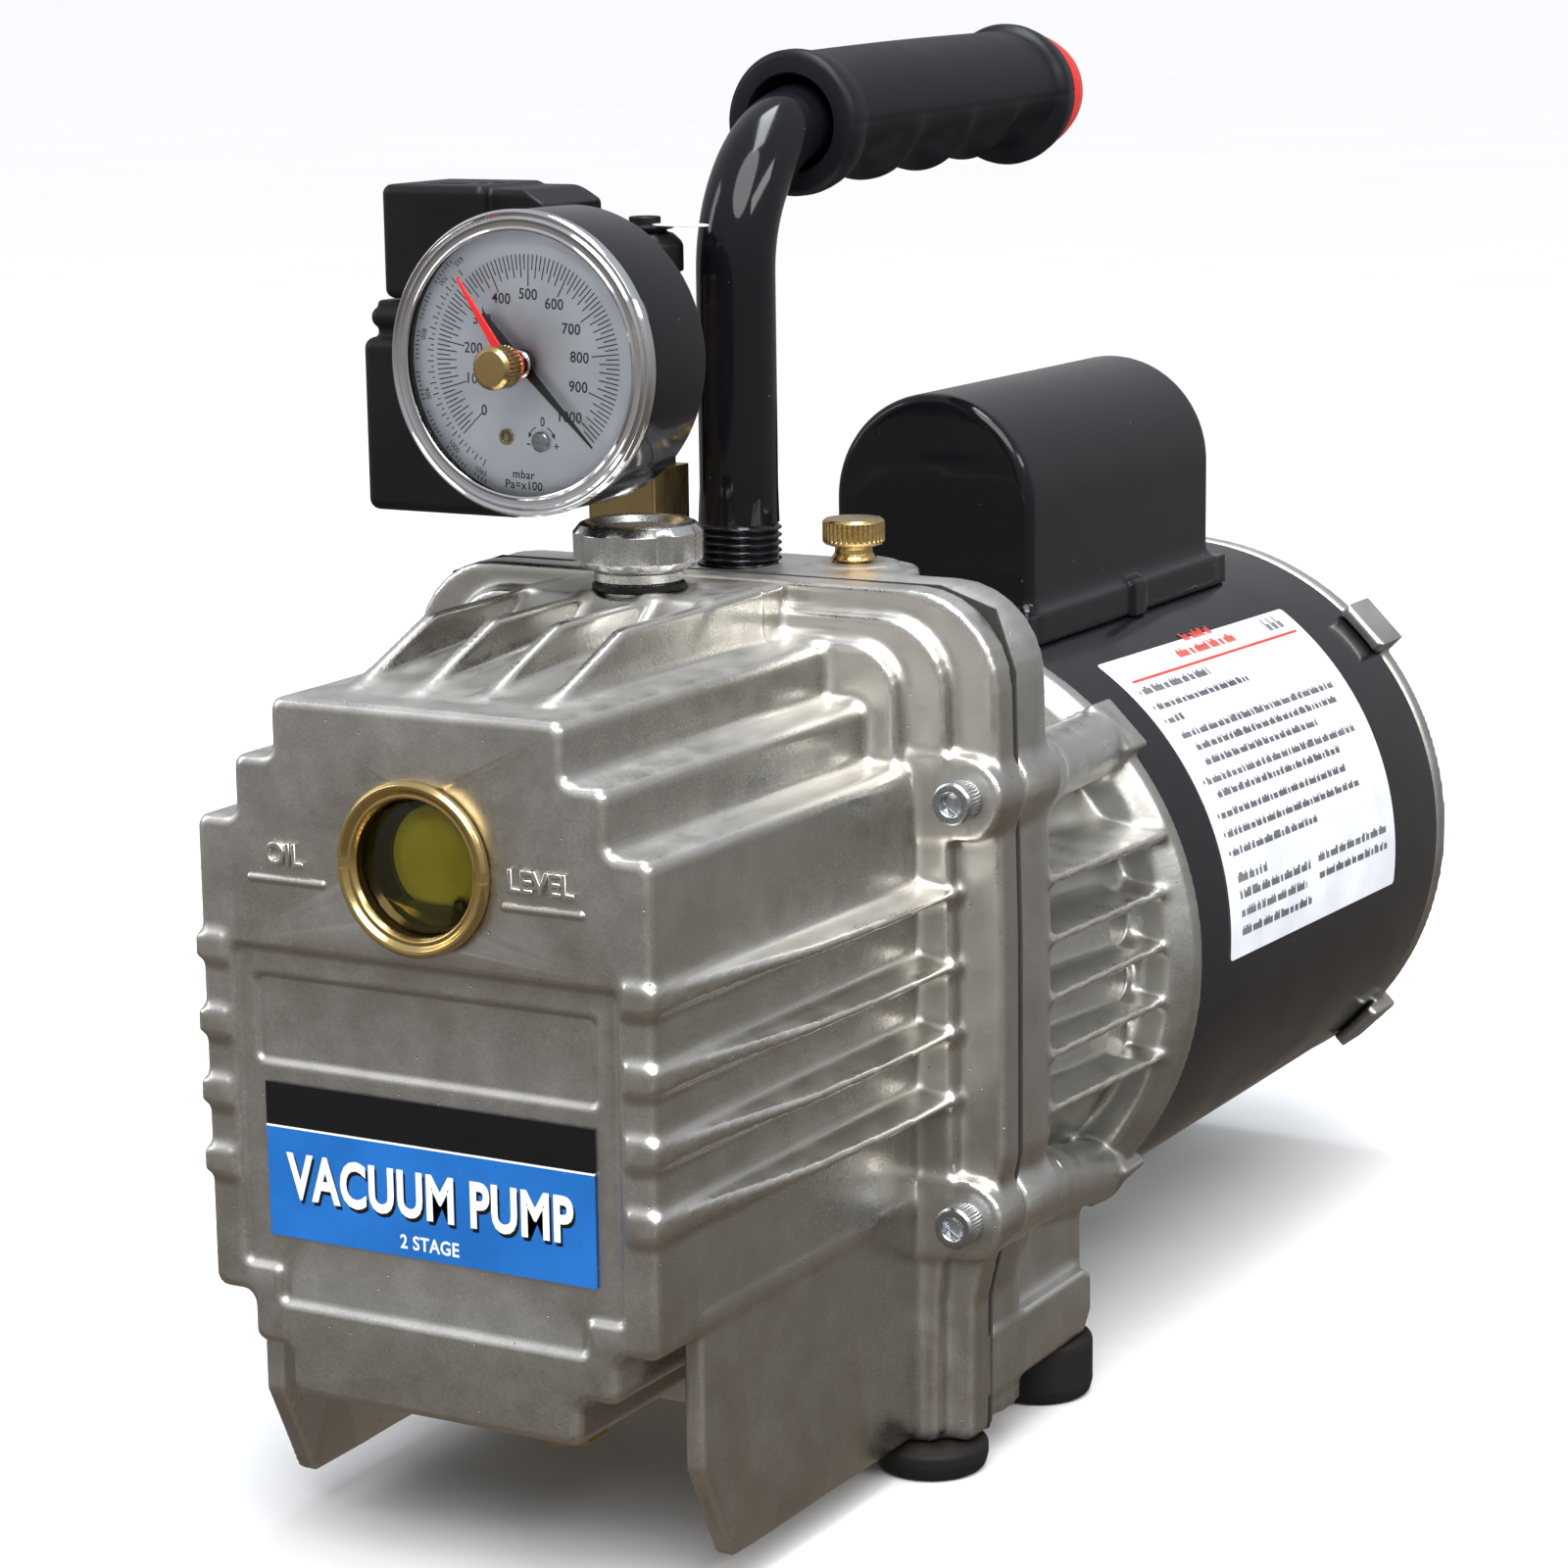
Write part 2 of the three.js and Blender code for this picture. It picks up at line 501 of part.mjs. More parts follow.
// The pipe's circle swept along its centre line, ring by ring, with the ends closed on the bore.
function handleTube() {
  const bore = TUBE_R - 1.8;
  const section = new THREE.Shape().absarc(0, 0, TUBE_R, 0, 2 * Math.PI, false);
  section.holes.push(new THREE.Path().absarc(0, 0, bore, 0, 2 * Math.PI, true));
  const path = handlePath();
  const geometry = new THREE.ExtrudeGeometry(section, { steps: 24, extrudePath: path, curveSegments: 6 });
  return solid(geometry);
}
add("handle_tube", handleTube(), BLACK_PAINT);

// A rubber grip with a rim at each end and four finger grooves beneath.
function handleGrip() {
  const { gripFront: a, gripBack: b, gripR: r, z } = HANDLE;
  const inner = TUBE_R + GAP;
  const rim = r + 1.4;
  const profile = [[inner, a], [r, a], [r + 0.6, a + 1.2], [r + 0.6, a + 5], [r, a + 9], [r, b - 21], [rim,
    b - 18],
    [rim, b - 15], [r, b - 8], [13.5, b - 1], [inner, b], [inner, a]];
  const body = turnedY(profile, 0, z, 28);
  const grooveR = 20.8;
  const grooveDepth = 3.8;
  const grooves = [181, 210.5, 237, 261.5].map((depth) => solid(
    new THREE.CylinderGeometry(grooveR, grooveR, 60, 48).rotateZ(Math.PI / 2)
      .translate(0, FACE + depth, z - r + grooveDepth - grooveR)));
  const mouth = turnedY(rod(inner + 1.4, a - 1, a + 9), 0, z - 0.4, 28);
  return risen(cut(body, grooves, mouth));
}
add("handle_grip", handleGrip(), BLACK_RUBBER);

// Red cap that closes the exhaust at the end of the hollow handle.
function exhaustCap() {
  const { gripBack: b, z } = HANDLE;
  const plugR = TUBE_R - 2.2;
  return risen(turnedY([[0, b - 4.5], [plugR, b - 4.5], [plugR, b + GAP], [11.4, b + GAP], [11.4, b + 3],
    [9.9, b + 6.5], [7, b + 8], [0, b + 8.4]], 0, z, 28));
}
add("exhaust_cap", exhaustCap(), { color: 0xc81818, roughness: 0.4 });

// ---- gas ballast knob ---------------------------------------------------------------------------

function ballastKnob() {
  const z = PLATE_Z + 1;
  return turnedZ([[0, z - 9], [4, z - 9], [4, z + GAP], [5.4, z + GAP], [4.6, z + 2], [4.6, z + 3.4],
    [BALLAST.r, z + 4.2],
    [BALLAST.r, z + 9], [BALLAST.r - 0.8, z + 9.8], [0, z + 9.8]], BALLAST.x, BALLAST.y, 20);
}
add("ballast_knob", ballastKnob(), BRASS);

// ---- inlet group: nipple, manifold, fitting and cap ---------------------------------------------

add("inlet_nipple", turnedZ(sleeve(MANIFOLD.boreR, 7, PLATE_Z + GAP, MANIFOLD.z0 - GAP),
  MANIFOLD.boreX, MANIFOLD.boreY, 6), BRASS);

// A machined block on a square foot, narrow in the middle and wide again where the gauge screws in.
function inletManifold() {
  const { boreX, boreY, boreR, left, front, z0, z1 } = MANIFOLD;
  const footing = prismZ(rectangle(left, MANIFOLD_FOOT.right, front, MANIFOLD_FOOT.back, 0.6), z0,
    MANIFOLD_FOOT.top);
  const post = box(left, MANIFOLD_POST.right, MANIFOLD_POST.front, MANIFOLD_POST.back,
    MANIFOLD_FOOT.top - 1, MANIFOLD_POST.top + 1);
  const head = prismZ(rectangle(MANIFOLD_HEAD.left, MANIFOLD_HEAD.right, front, MANIFOLD_HEAD.back, 0.6),
    MANIFOLD_POST.top, z1);
  const passages = [
    turnedZ(rod(boreR, z0 - 1, z1 + 1), boreX, boreY, 18),
    turnedX(rod(boreR, left - 1, boreX), boreY, COIL_Z, 18),
    turnedY(rod(3, front - 1, boreY), GAUGE.x, GAUGE.z, 16),
  ];
  return cut(join(footing, post, head), passages);
}
add("inlet_manifold", inletManifold(), BRASS);

function inletFitting() {
  const z = MANIFOLD.z1 + GAP;
  const profile = [[3.2, z], [8, z], [8, z + 6], [6, z + 7], [6, z + 10], [3.2, z + 12], [3.2, z]];
  return turnedZ(profile, INLET.x, INLET.y, 16);
}
add("inlet_fitting", inletFitting(), BRASS);

function inletCap() {
  const { x, y } = INLET;
  const z = MANIFOLD.z1 + 8;
  const cup = turnedZ([[6.4, z], [7.4, z], [7.4, z + 8.5], [6.4, z + 9.4], [3.2, z + 9.4], [3.2, z + 12.4],
    [0, z + 12.4], [0, z + 5.4], [6.4, z + 5.4], [6.4, z]], x, y, 16);
  const tab = prismZ(rounded([[x - 6, y - 6], [x + 10, y - 6], [x + 17, y, 2], [x + 10, y + 6], [x - 6,
    y + 6]], 3),
    z + 9.2, z + 10.2);
  return join(cup, tab);
}
add("inlet_cap", inletCap(), BLACK_PLASTIC);

// ---- solenoid valve -----------------------------------------------------------------------------

const TUBE_END = MANIFOLD.left - GAP;
add("solenoid_tube", cut(
  turnedX([[0, COIL.x0 + 3], [6, COIL.x0 + 3], [6, COIL.x1 + 1], [8, COIL.x1 + 1], [8, COIL.x1 + 6],
    [6, COIL.x1 + 6], [6, TUBE_END], [0, TUBE_END]], COIL_Y, COIL_Z, 24),
  turnedX(rod(4.5, COIL.x0 + 6, TUBE_END + 1), COIL_Y, COIL_Z, 20),
), BRASS);

add("solenoid_plunger", turnedX(softRod(4.1, COIL.x0 + 14, COIL.x1 + 3, 0.6), COIL_Y, COIL_Z, 20), STEEL);

function solenoidCoil() {
  const { x0, x1, y0, y1, z0, z1 } = COIL;
  const block = prismY(rounded([[x0, z0], [x1, z0], [x1, z1], [x0, z1]], 2.5), y0, y1);
  const neck = prismY(rounded([[x0 + 8, z1 - 1], [x1 - 1, z1 - 1], [x1 - 1, z1 + 8.5], [x0 + 8, z1 + 8.5]],
    1),
    y0 + 4, y1 - 4);
  return cut(join(block, neck), turnedX(rod(6 + GAP, x0 - 1, x1 + 1), COIL_Y, COIL_Z, 24));
}
add("solenoid_coil", solenoidCoil(), BLACK_PLASTIC);

function solenoidConnector() {
  const { x0, x1, y0, y1, z0, z1 } = CONNECTOR;
  const block = prismY(rounded([[x0, z0], [x1, z0], [x1, z1 - 6], [x1 - 2, z1], [x0, z1]], 2), y0, y1);
  const screwHole = turnedZ(rod(2.6, z1 - 12, z1 + 1), (x0 + x1) / 2, (y0 + y1) / 2, 14);
  return cut(block, screwHole);
}
add("solenoid_connector", solenoidConnector(), BLACK_PLASTIC);
add("connector_screw", turnedZ(softRod(2.3, CONNECTOR.z1 - 11.6, CONNECTOR.z1 - 1.5, 0.4),
  (CONNECTOR.x0 + CONNECTOR.x1) / 2, (CONNECTOR.y0 + CONNECTOR.y1) / 2, 14), STEEL);

// ---- vacuum gauge -------------------------------------------------------------------------------

const BEZEL_BORE = 28.4; // radius of the opening that shows the dial
const WINDOW_HOLE = POINTER_KNOB.stemR + GAP;

function gaugeCase() {
  const { x, z, front, dial, back, caseR, dialR } = GAUGE;
  const drum = turnedY([[0, front + 3.3], [caseR, front + 3.3], [caseR, back - 2.5], [caseR - 3.2, back],
    [0, back]],
    x, z, 36);
  return cut(drum, turnedY(rod(dialR + 0.4, front, dial + 14), x, z, 32));
}
add("gauge_case", gaugeCase(), BLACK_PAINT);

add("gauge_stem", turnedY(sleeve(1.5, 5.5, GAUGE.back + GAP, MANIFOLD.front - GAP), GAUGE.x, GAUGE.z, 6),
  BRASS);

function gaugeBezel() {
  const { x, z, front, r } = GAUGE;
  const pocket = 31.2;
  return turnedY([[BEZEL_BORE, front + 0.4], [BEZEL_BORE, front + 0.2], [BEZEL_BORE + 0.5, front],
    [r - 0.8, front],
    [r, front + 0.8], [r, front + 3], [pocket, front + 3], [pocket, front + 0.4], [BEZEL_BORE,
      front + 0.4]], x, z, 36);
}
add("gauge_bezel", gaugeBezel(), STEEL);

add("gauge_window", turnedY(sleeve(WINDOW_HOLE, 30.9, GAUGE.front + 0.6, GAUGE.front + 1), GAUGE.x,
  GAUGE.z, 28),
  { color: 0xffffff, roughness: 0.02, transparent: true, opacity: 0.25 });

add("gauge_dial", cut(
  turnedY(rod(GAUGE.dialR, GAUGE.dial, GAUGE.dial + 0.8), GAUGE.x, GAUGE.z, 28),
  turnedY(rod(1.6, GAUGE.dial - 1, GAUGE.dial + 2), GAUGE.x, GAUGE.z, 16),
  turnedY(rod(1.9, GAUGE.dial - 1, GAUGE.dial + 2), GAUGE.x + ZERO_SCREW.x, GAUGE.z + ZERO_SCREW.z, 16),
), { color: 0xf2f4f6, roughness: 0.5 });

// A flat pointer at an angle in degrees, clockwise from 12 o'clock, from pairs of [half width, distance out].
function pointer(degrees, edge, y0, y1) {
  const angle = (degrees * Math.PI) / 180;
  const otherEdge = edge.map(([side, out]) => [-side, out]).reverse();
  const turned = [...edge, ...otherEdge].map(([side, out]) => [
    GAUGE.x + out * Math.sin(angle) + side * Math.cos(angle),
    GAUGE.z + out * Math.cos(angle) - side * Math.sin(angle),
  ]);
  return prismY(rounded(turned, 0), y0, y1);
}

const NEEDLE = { angle: 134.8, y: GAUGE.front + 1.3, thick: 0.4, hubR: 3.2 };
add("gauge_needle", join(
  pointer(NEEDLE.angle, [[-0.2, 24.7], [-1.2, 2], [-1.2, -3], [-1.7, -15.2], [-0.1, -12.8]],
    NEEDLE.y, NEEDLE.y + NEEDLE.thick),
  turnedY(softRod(NEEDLE.hubR, NEEDLE.y - 0.1, NEEDLE.y + 0.9, 0.3), GAUGE.x, GAUGE.z, 20),
  turnedY(rod(1.1, NEEDLE.y + 0.8, GAUGE.dial + 12), GAUGE.x, GAUGE.z, 12),
), BLACK_PLASTIC);

const RED_POINTER = { angle: -33.8, y: POINTER_KNOB.back + GAP, thick: 0.5 };
add("red_pointer", join(
  pointer(RED_POINTER.angle, [[-0.25, 22.3], [-1.1, 3]], RED_POINTER.y, RED_POINTER.y + RED_POINTER.thick),
  turnedY(sleeve(WINDOW_HOLE, 4.1, RED_POINTER.y, RED_POINTER.y + RED_POINTER.thick), GAUGE.x, GAUGE.z, 20),
), { color: 0xd01018, roughness: 0.4 });

function pointerKnob() {
  const { front, back, r, stemR } = POINTER_KNOB;
  const stemEnd = GAUGE.front + 0.8;
  return turnedY([[0, front], [r - 0.7, front], [r, front + 0.8], [r, back], [stemR, back], [stemR, stemEnd],
    [0, stemEnd]], GAUGE.x, GAUGE.z, 24);
}
add("pointer_knob", pointerKnob(), BRASS);

function zeroScrew() {
  const x = GAUGE.x + ZERO_SCREW.x;
  const z = GAUGE.z + ZERO_SCREW.z;
  const under = GAUGE.dial - GAP;
  const head = under - 0.9;
  const body = turnedY([[0, head], [2.3, head], [2.3, under], [1.6, under], [1.6, under + 5], [0,
    under + 5]], x, z, 18);
  return cut(body, box(x - 3, x + 3, head - 1, head + 0.5, z - 0.35, z + 0.35));
}
add("gauge_zero_screw", zeroScrew(), STEEL);

// ---- motor --------------------------------------------------------------------------------------

function motorShell() {
  const tube = turnedY(sleeve(SHELL_R - SHELL_WALL, SHELL_R, RING_BACK + GAP, SHELL_BACK - GAP), 0, AXIS_Z,
    48);
  const wireHole = turnedZ(rod(6, 150, 200), 0, COVER.y1 - 15, 18);
  return cut(tube, wireHole);
}
add("motor_shell", motorShell(), BLACK_PAINT);

// Dished casting that closes the motor, with a bearing hub, vents, and openings for switch and cord gland.
function rearEndBell() {
  const b = BELL_BACK;
  const hubR = BEARING_R + GAP;
  const dish = turnedY([[0, b], [40, b], [MOTOR_R - 9, b - 1.5], [MOTOR_R - 3.5, b - 4], [MOTOR_R - 0.6,
    b - 9],
    [MOTOR_R - 0.6, SHELL_BACK], [72, SHELL_BACK], [72, b - 9], [66, b - 5], [21, b - 5], [21, b - 17],
    [hubR, b - 17], [hubR, b - 5], [0, b - 5], [0, b]], 0, AXIS_Z, 48);
  const lugs = motorLugs(SHELL_BACK - 5, b - 4);
  const shellSpace = turnedY(sleeve(60, SHELL_R + GAP, SHELL_BACK - 8, SHELL_BACK), 0, AXIS_Z, 48);
  const vents = [];
  const count = 10;
  for (let i = 0; i < count; i++) {
    const a = (2 * Math.PI * (i + 0.5)) / count;
    if (Math.sin(a) > -0.1) vents.push(turnedY(rod(5, b - 8, b + 1), 50 * Math.cos(a),
      AXIS_Z + 50 * Math.sin(a), 8));
  }
  const { x, z, halfX, halfZ } = SWITCH;
  const switchHole = box(x - halfX, x + halfX, b - 12, b + 1, z - halfZ, z + halfZ);
  const glandHole = turnedY(rod(GLAND.r + GAP, b - 12, b + 1), GLAND.x, GLAND.z, 20);
  return cut(join(dish, lugs), shellSpace, vents, switchHole, glandHole);
}
add("rear_end_bell", rearEndBell(), GREY_PAINT);

// Rocker in a short frame, set into the end bell; it tips about its middle.
function rockerSwitch() {
  const { x, z, halfX, halfZ } = SWITCH;
  const outline = rounded([[BELL_BACK - 9, z - halfZ + 3.5], [BELL_BACK - 0.4, z - halfZ + 1.5, 1],
    [BELL_BACK - 1.8, z, 3], [BELL_BACK - 3, z + halfZ - 1.5, 1], [BELL_BACK - 9, z + halfZ - 3.5]], 0);
  return prismX(outline, x - halfX + 0.6, x + halfX - 0.6);
}
add("rocker_switch", rockerSwitch(), BLACK_PLASTIC);

add("cord_gland", turnedY([[3.5, BELL_BACK - 8], [GLAND.r, BELL_BACK - 8], [GLAND.r, BELL_BACK + GAP],
  [GLAND.r + 2, BELL_BACK + GAP], [GLAND.r + 2, BELL_BACK + 2.2], [3.5, BELL_BACK + 2.2], [3.5,
    BELL_BACK - 8]],
GLAND.x, GLAND.z, 20), BLACK_RUBBER);

// ---- capacitor on the shell ---------------------------------------------------------------------

function coverOutline(grow) {
  const { half, top, foot } = COVER;
  const r = half + grow;
  const shape = new THREE.Shape();
  shape.moveTo(-r, foot);
  shape.lineTo(r, foot);
  shape.absarc(0, top - half, r, 0, Math.PI, false);
  shape.closePath();
  return shape;
}

function capacitorCover() {
  const { half, y0, y1, foot } = COVER;
  const skin = 2;
  const hood = prismY(coverOutline(0), y0, y1, 10);
  const bead = prismY(rounded([[-half - 2.5, foot], [half + 2.5, foot], [half + 2.5, 178.5, 2],
    [-half - 2.5, 178.5, 2]], 0),
    y0 - 7, y1 + 7);
  const inside = prismY(coverOutline(-skin), y0 + skin, y1 - skin, 8);
  const shell = turnedY(rod(SHELL_R + GAP, y0 - 20, y1 + 20), 0, AXIS_Z, 48);
  const holes = [y0 - 3.6, y1 + 3.6].map((y) => turnedZ(rod(1.9, 160, 185), 0, y, 12));
  return cut(join(hood, bead), inside, shell, holes);
}
add("capacitor_cover", capacitorCover(), BLACK_PAINT);
add("capacitor", turnedY(softRod(19, COVER.y0 + 8, COVER.y1 - 28, 1), 0, 205, 28), { color: 0x9fa3a8,
  roughness: 0.3 });

for (const [end, y] of [["front", COVER.y0 - 3.6], ["rear", COVER.y1 + 3.6]]) {
  add(`cover_screw_${end}`, turnedZ([[0, 176.9], [1.5, 176.9], [1.5, 178.8], [3.2, 178.8], [2.6, 180.6],
    [0, 181]], 0, y, 16),
    STEEL);
}

// Curved label that wraps the visible side of the shell.
function motorLabel() {
  const skin = turnedY(sleeve(SHELL_R + GAP, SHELL_R + 0.65, 241, 355), 0, AXIS_Z, 48);
  const keep = box(40, 90, 200, 400, AXIS_Z - 5.4, AXIS_Z + 67);
  return skin.intersect(keep);
}
add("motor_label", motorLabel(), { color: 0xe9eaec, roughness: 0.4 });

// ---- inside the motor ---------------------------------------------------------------------------

add("motor_stator", join(
  turnedY(sleeve(45.8, SHELL_R - SHELL_WALL - 0.6, 262, 334), 0, AXIS_Z, 24),
  turnedY(sleeve(50, 68, 246, 350), 0, AXIS_Z, 24),
), { color: 0x6d4a2a, roughness: 0.6, metalness: 0.4 });

add("motor_rotor", turnedY([[0, 170], [STUB_R, 170], [STUB_R, 198], [SHAFT_R, 198], [SHAFT_R, 256], [44.4,
  256],
  [44.4, 340], [SHAFT_R, 340], [SHAFT_R, 396], [0, 396]], 0, AXIS_Z, 24), STEEL);

function coolingFan() {
  const hub = turnedY(sleeve(SHAFT_R + GAP, 14, 354, 374), 0, AXIS_Z, 24);
  const disc = turnedY(sleeve(12, 62, 354, 356), 0, AXIS_Z, 24);
  const blades = [];
  const count = 9;
  for (let i = 0; i < count; i++) {
    blades.push(box(12, 60, 355, 370, -1, 1).rotate([0, (360 * i) / count, 0]).translate([0, 0, AXIS_Z]));
  }
  return join(hub, disc, blades);
}
add("cooling_fan", coolingFan(), BLACK_PLASTIC);

add("front_bearing", turnedY(sleeve(SHAFT_R + GAP, BEARING_R, 207, 219), 0, AXIS_Z, 24), STEEL);
add("rear_bearing", turnedY(sleeve(SHAFT_R + GAP, BEARING_R, BELL_BACK - 16, BELL_BACK - 6), 0, AXIS_Z,
  24), STEEL);
add("shaft_coupling", turnedY(sleeve(STUB_R + GAP, 15, 150, 190), 0, AXIS_Z, 24), STEEL);

// ---- pump stage ---------------------------------------------------------------------------------

add("pump_cylinder", cut(
  turnedY(rod(STAGE.outerR, STAGE.y0, ADAPTER_FRONT - GAP), 0, AXIS_Z, 40),
  turnedY(rod(STAGE.boreR, STAGE.y0 - 1, STAGE.y1), 0, AXIS_Z + STAGE.rise, 40),
  turnedY(rod(STUB_R + 1, STAGE.y1 - 1, ADAPTER_FRONT + 1), 0, AXIS_Z, 20),
), STEEL);

add("pump_end_plate", turnedY(rod(STAGE.outerR, STAGE.y0 - 9, STAGE.y0 - GAP), 0, AXIS_Z, 32), STEEL);

add("pump_rotor", cut(
  turnedY([[0, STAGE.y0 + GAP], [STAGE.rotorR, STAGE.y0 + GAP], [STAGE.rotorR, STAGE.y1 - GAP], [STUB_R,
    STAGE.y1 - GAP], [STUB_R, 168], [0, 168]],
    0, AXIS_Z, 36),
  [1, -1].map((way) => {
    const ends = [way * (VANE.inner - 0.6) + AXIS_Z, way * (STAGE.rotorR + 2) + AXIS_Z].sort((p, q) => p - q);
    return box(-VANE.half - GAP, VANE.half + GAP, STAGE.y0 - 1, STAGE.y1 - 1, ends[0], ends[1]);
  }),
), STEEL);

for (const [name, way] of [["pump_vane_1", 1], ["pump_vane_2", -1]]) {
  const ends = [way * VANE.inner + AXIS_Z, way * VANE.outer + AXIS_Z].sort((p, q) => p - q);
  add(name, box(-VANE.half, VANE.half, STAGE.y0 + 0.6, STAGE.y1 - 1.6, ends[0], ends[1]),
    { color: 0x3a2c22, roughness: 0.6 });
}

export default pump;
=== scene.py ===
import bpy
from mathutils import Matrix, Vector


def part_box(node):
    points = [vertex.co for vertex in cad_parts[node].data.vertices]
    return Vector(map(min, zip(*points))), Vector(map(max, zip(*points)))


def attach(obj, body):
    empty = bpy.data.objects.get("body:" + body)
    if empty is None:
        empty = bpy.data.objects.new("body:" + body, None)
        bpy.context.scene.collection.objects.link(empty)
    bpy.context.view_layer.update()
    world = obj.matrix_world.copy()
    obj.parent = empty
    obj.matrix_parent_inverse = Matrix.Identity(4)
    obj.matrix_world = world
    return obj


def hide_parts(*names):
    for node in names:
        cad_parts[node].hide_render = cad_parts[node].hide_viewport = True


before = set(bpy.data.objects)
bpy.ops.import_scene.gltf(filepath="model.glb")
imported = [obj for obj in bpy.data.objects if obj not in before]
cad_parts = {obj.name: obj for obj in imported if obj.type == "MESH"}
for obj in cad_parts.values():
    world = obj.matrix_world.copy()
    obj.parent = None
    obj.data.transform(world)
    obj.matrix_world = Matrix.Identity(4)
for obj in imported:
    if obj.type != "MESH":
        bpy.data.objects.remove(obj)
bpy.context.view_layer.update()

import math
from contextlib import contextmanager

import bmesh
import bpy
import numpy as np
import openvdb
from mathutils import Matrix, Vector

# Lengths are in millimetres unless a name says otherwise. A point is (x, depth, z): depth is measured back
# from the front face of the oil case, and z is the height above the floor.
MM = 0.001
MARK_HEIGHT = 0.6   # the cast marks stand this far proud of the face, and reach the front of the case's box
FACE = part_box("oil_case")[0].y / MM + MARK_HEIGHT
BODY = "pump_body"


def span(node):
    """The lowest and highest (x, depth, z) of a CAD node."""
    low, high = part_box(node)
    return [np.array([c.x / MM, c.y / MM - FACE, c.z / MM]) for c in (low, high)]


def middle(node):
    low, high = span(node)
    return (low + high) / 2


# ---- meshes --------------------------------------------------------------------------------------


def linked(name, data):
    """A new object in the scene."""
    obj = bpy.data.objects.new(name, data)
    bpy.context.scene.collection.objects.link(obj)
    return obj


def applied(obj, *helpers):
    """The mesh that an object makes with its modifiers. The object and its helpers are then removed."""
    bpy.context.view_layer.update()
    graph = bpy.context.evaluated_depsgraph_get()
    result = bpy.data.meshes.new_from_object(obj.evaluated_get(graph))
    for used in (obj, *helpers):
        bpy.data.objects.remove(used)
    return result


@contextmanager
def edited(mesh):
    """A mesh opened for editing, and written back afterwards."""
    bm = bmesh.new()
    bm.from_mesh(mesh)
    yield bm
    bm.to_mesh(mesh)
    bm.free()


def mesh_of(name, points, faces):
    """A mesh from (x, depth, z) points, with its faces turned outwards."""
    points = np.asarray(points, float)
    mesh = bpy.data.meshes.new(name)
    mesh.from_pydata((points + [0, FACE, 0]) * MM, [], [list(map(int, f)) for f in faces])
    outwards(mesh)
    return mesh


def outwards(mesh):
    with edited(mesh) as bm:
        bmesh.ops.recalc_face_normals(bm, faces=bm.faces)


def merged(meshes, name):
    """One mesh from several, keeping each face's material index."""
    bm = bmesh.new()
    for m in meshes:
        bm.from_mesh(m)
    out = bpy.data.meshes.new(name)
    bm.to_mesh(out)
    bm.free()
    return out


def paint(mesh, index):
    mesh.polygons.foreach_set("material_index", [index] * len(mesh.polygons))
    return mesh


def soften(points, radius, closed=False, steps=4):
    """An outline with each corner rounded; a point may carry its own radius as a third number."""
    out = []
    count = len(points)
    for i, p in enumerate(points):
        here = np.array(p[:2], float)
        r = p[2] if len(p) > 2 else radius
        if r <= 0 or (not closed and i in (0, count - 1)):
            out.append(here)
            continue
        before = np.array(points[i - 1][:2], float) - here
        after = np.array(points[(i + 1) % count][:2], float) - here
        lengths = np.linalg.norm(before), np.linalg.norm(after)
        if min(lengths) < 1e-6:
            continue
        before, after = before / lengths[0], after / lengths[1]
        turn = math.acos(float(np.clip(before @ after, -1, 1)))
        if turn > math.radians(172):
            out.append(here)
            continue
        reach = min(r / math.tan(turn / 2), 0.48 * lengths[0], 0.48 * lengths[1])
        r = reach * math.tan(turn / 2)
        centre = here + (before + after) / np.linalg.norm(before + after) * r / math.sin(turn / 2)
        start, end = here + before * reach - centre, here + after * reach - centre
        a0 = math.atan2(start[1], start[0])
        sweep = (math.atan2(end[1], end[0]) - a0 + math.pi) % (2 * math.pi) - math.pi
        out += [centre + r * np.array([math.cos(a0 + sweep * k / steps), math.sin(a0 + sweep * k / steps)])
                for k in range(steps + 1)]
    return np.array(out)


# for each axis: the two directions of an outline across it, and its own direction
AXES = {"x": (1, 2, 0), "y": (0, 2, 1), "z": (0, 1, 2)}


def ring_faces(rows, around, closed=True):
    """The faces that join rings of points, each ring to the next one."""
    faces = []
    for i in range(rows if closed else rows - 1):
        here, there = i * around, (i + 1) % rows * around
        for k in range(around):
            n = (k + 1) % around
            faces.append([here + k, here + n, there + n, there + k])
    return faces


def ring_angles(around):
    return np.arange(around) * 2 * math.pi / around


def turned(name, profile, centre, axis="z", around=64, radius=0.4, shape=None):
    """A turned mesh: profile is (radius, height along the axis), open at the axis or closed on itself.
    shape(angle, radius, height) may change the radius to cut flats, knurls or scallops."""
    closed = tuple(profile[0][:2]) == tuple(profile[-1][:2])
    line = soften(profile[:-1] if closed else profile, radius, closed)
    angles = ring_angles(around)
    r = np.repeat(line[:, :1], around, 1)
    h = np.repeat(line[:, 1:], around, 1)
    if shape:
        r = shape(angles[None, :], r, h)
    first, second, along = AXES[axis]
    points = np.zeros((len(line), around, 3))
    points[..., first] = centre[first] + r * np.cos(angles)
    points[..., second] = centre[second] + r * np.sin(angles)
    points[..., along] = h
    mesh = mesh_of(name, points.reshape(-1, 3), ring_faces(len(line), around, closed))
    with edited(mesh) as bm:
        bmesh.ops.remove_doubles(bm, verts=bm.verts, dist=1e-6)
        bmesh.ops.recalc_face_normals(bm, faces=bm.faces)
    return mesh


def sleeve(inner, outer, low, high):
    return [(inner, low), (outer, low), (outer, high), (inner, high), (inner, low)]


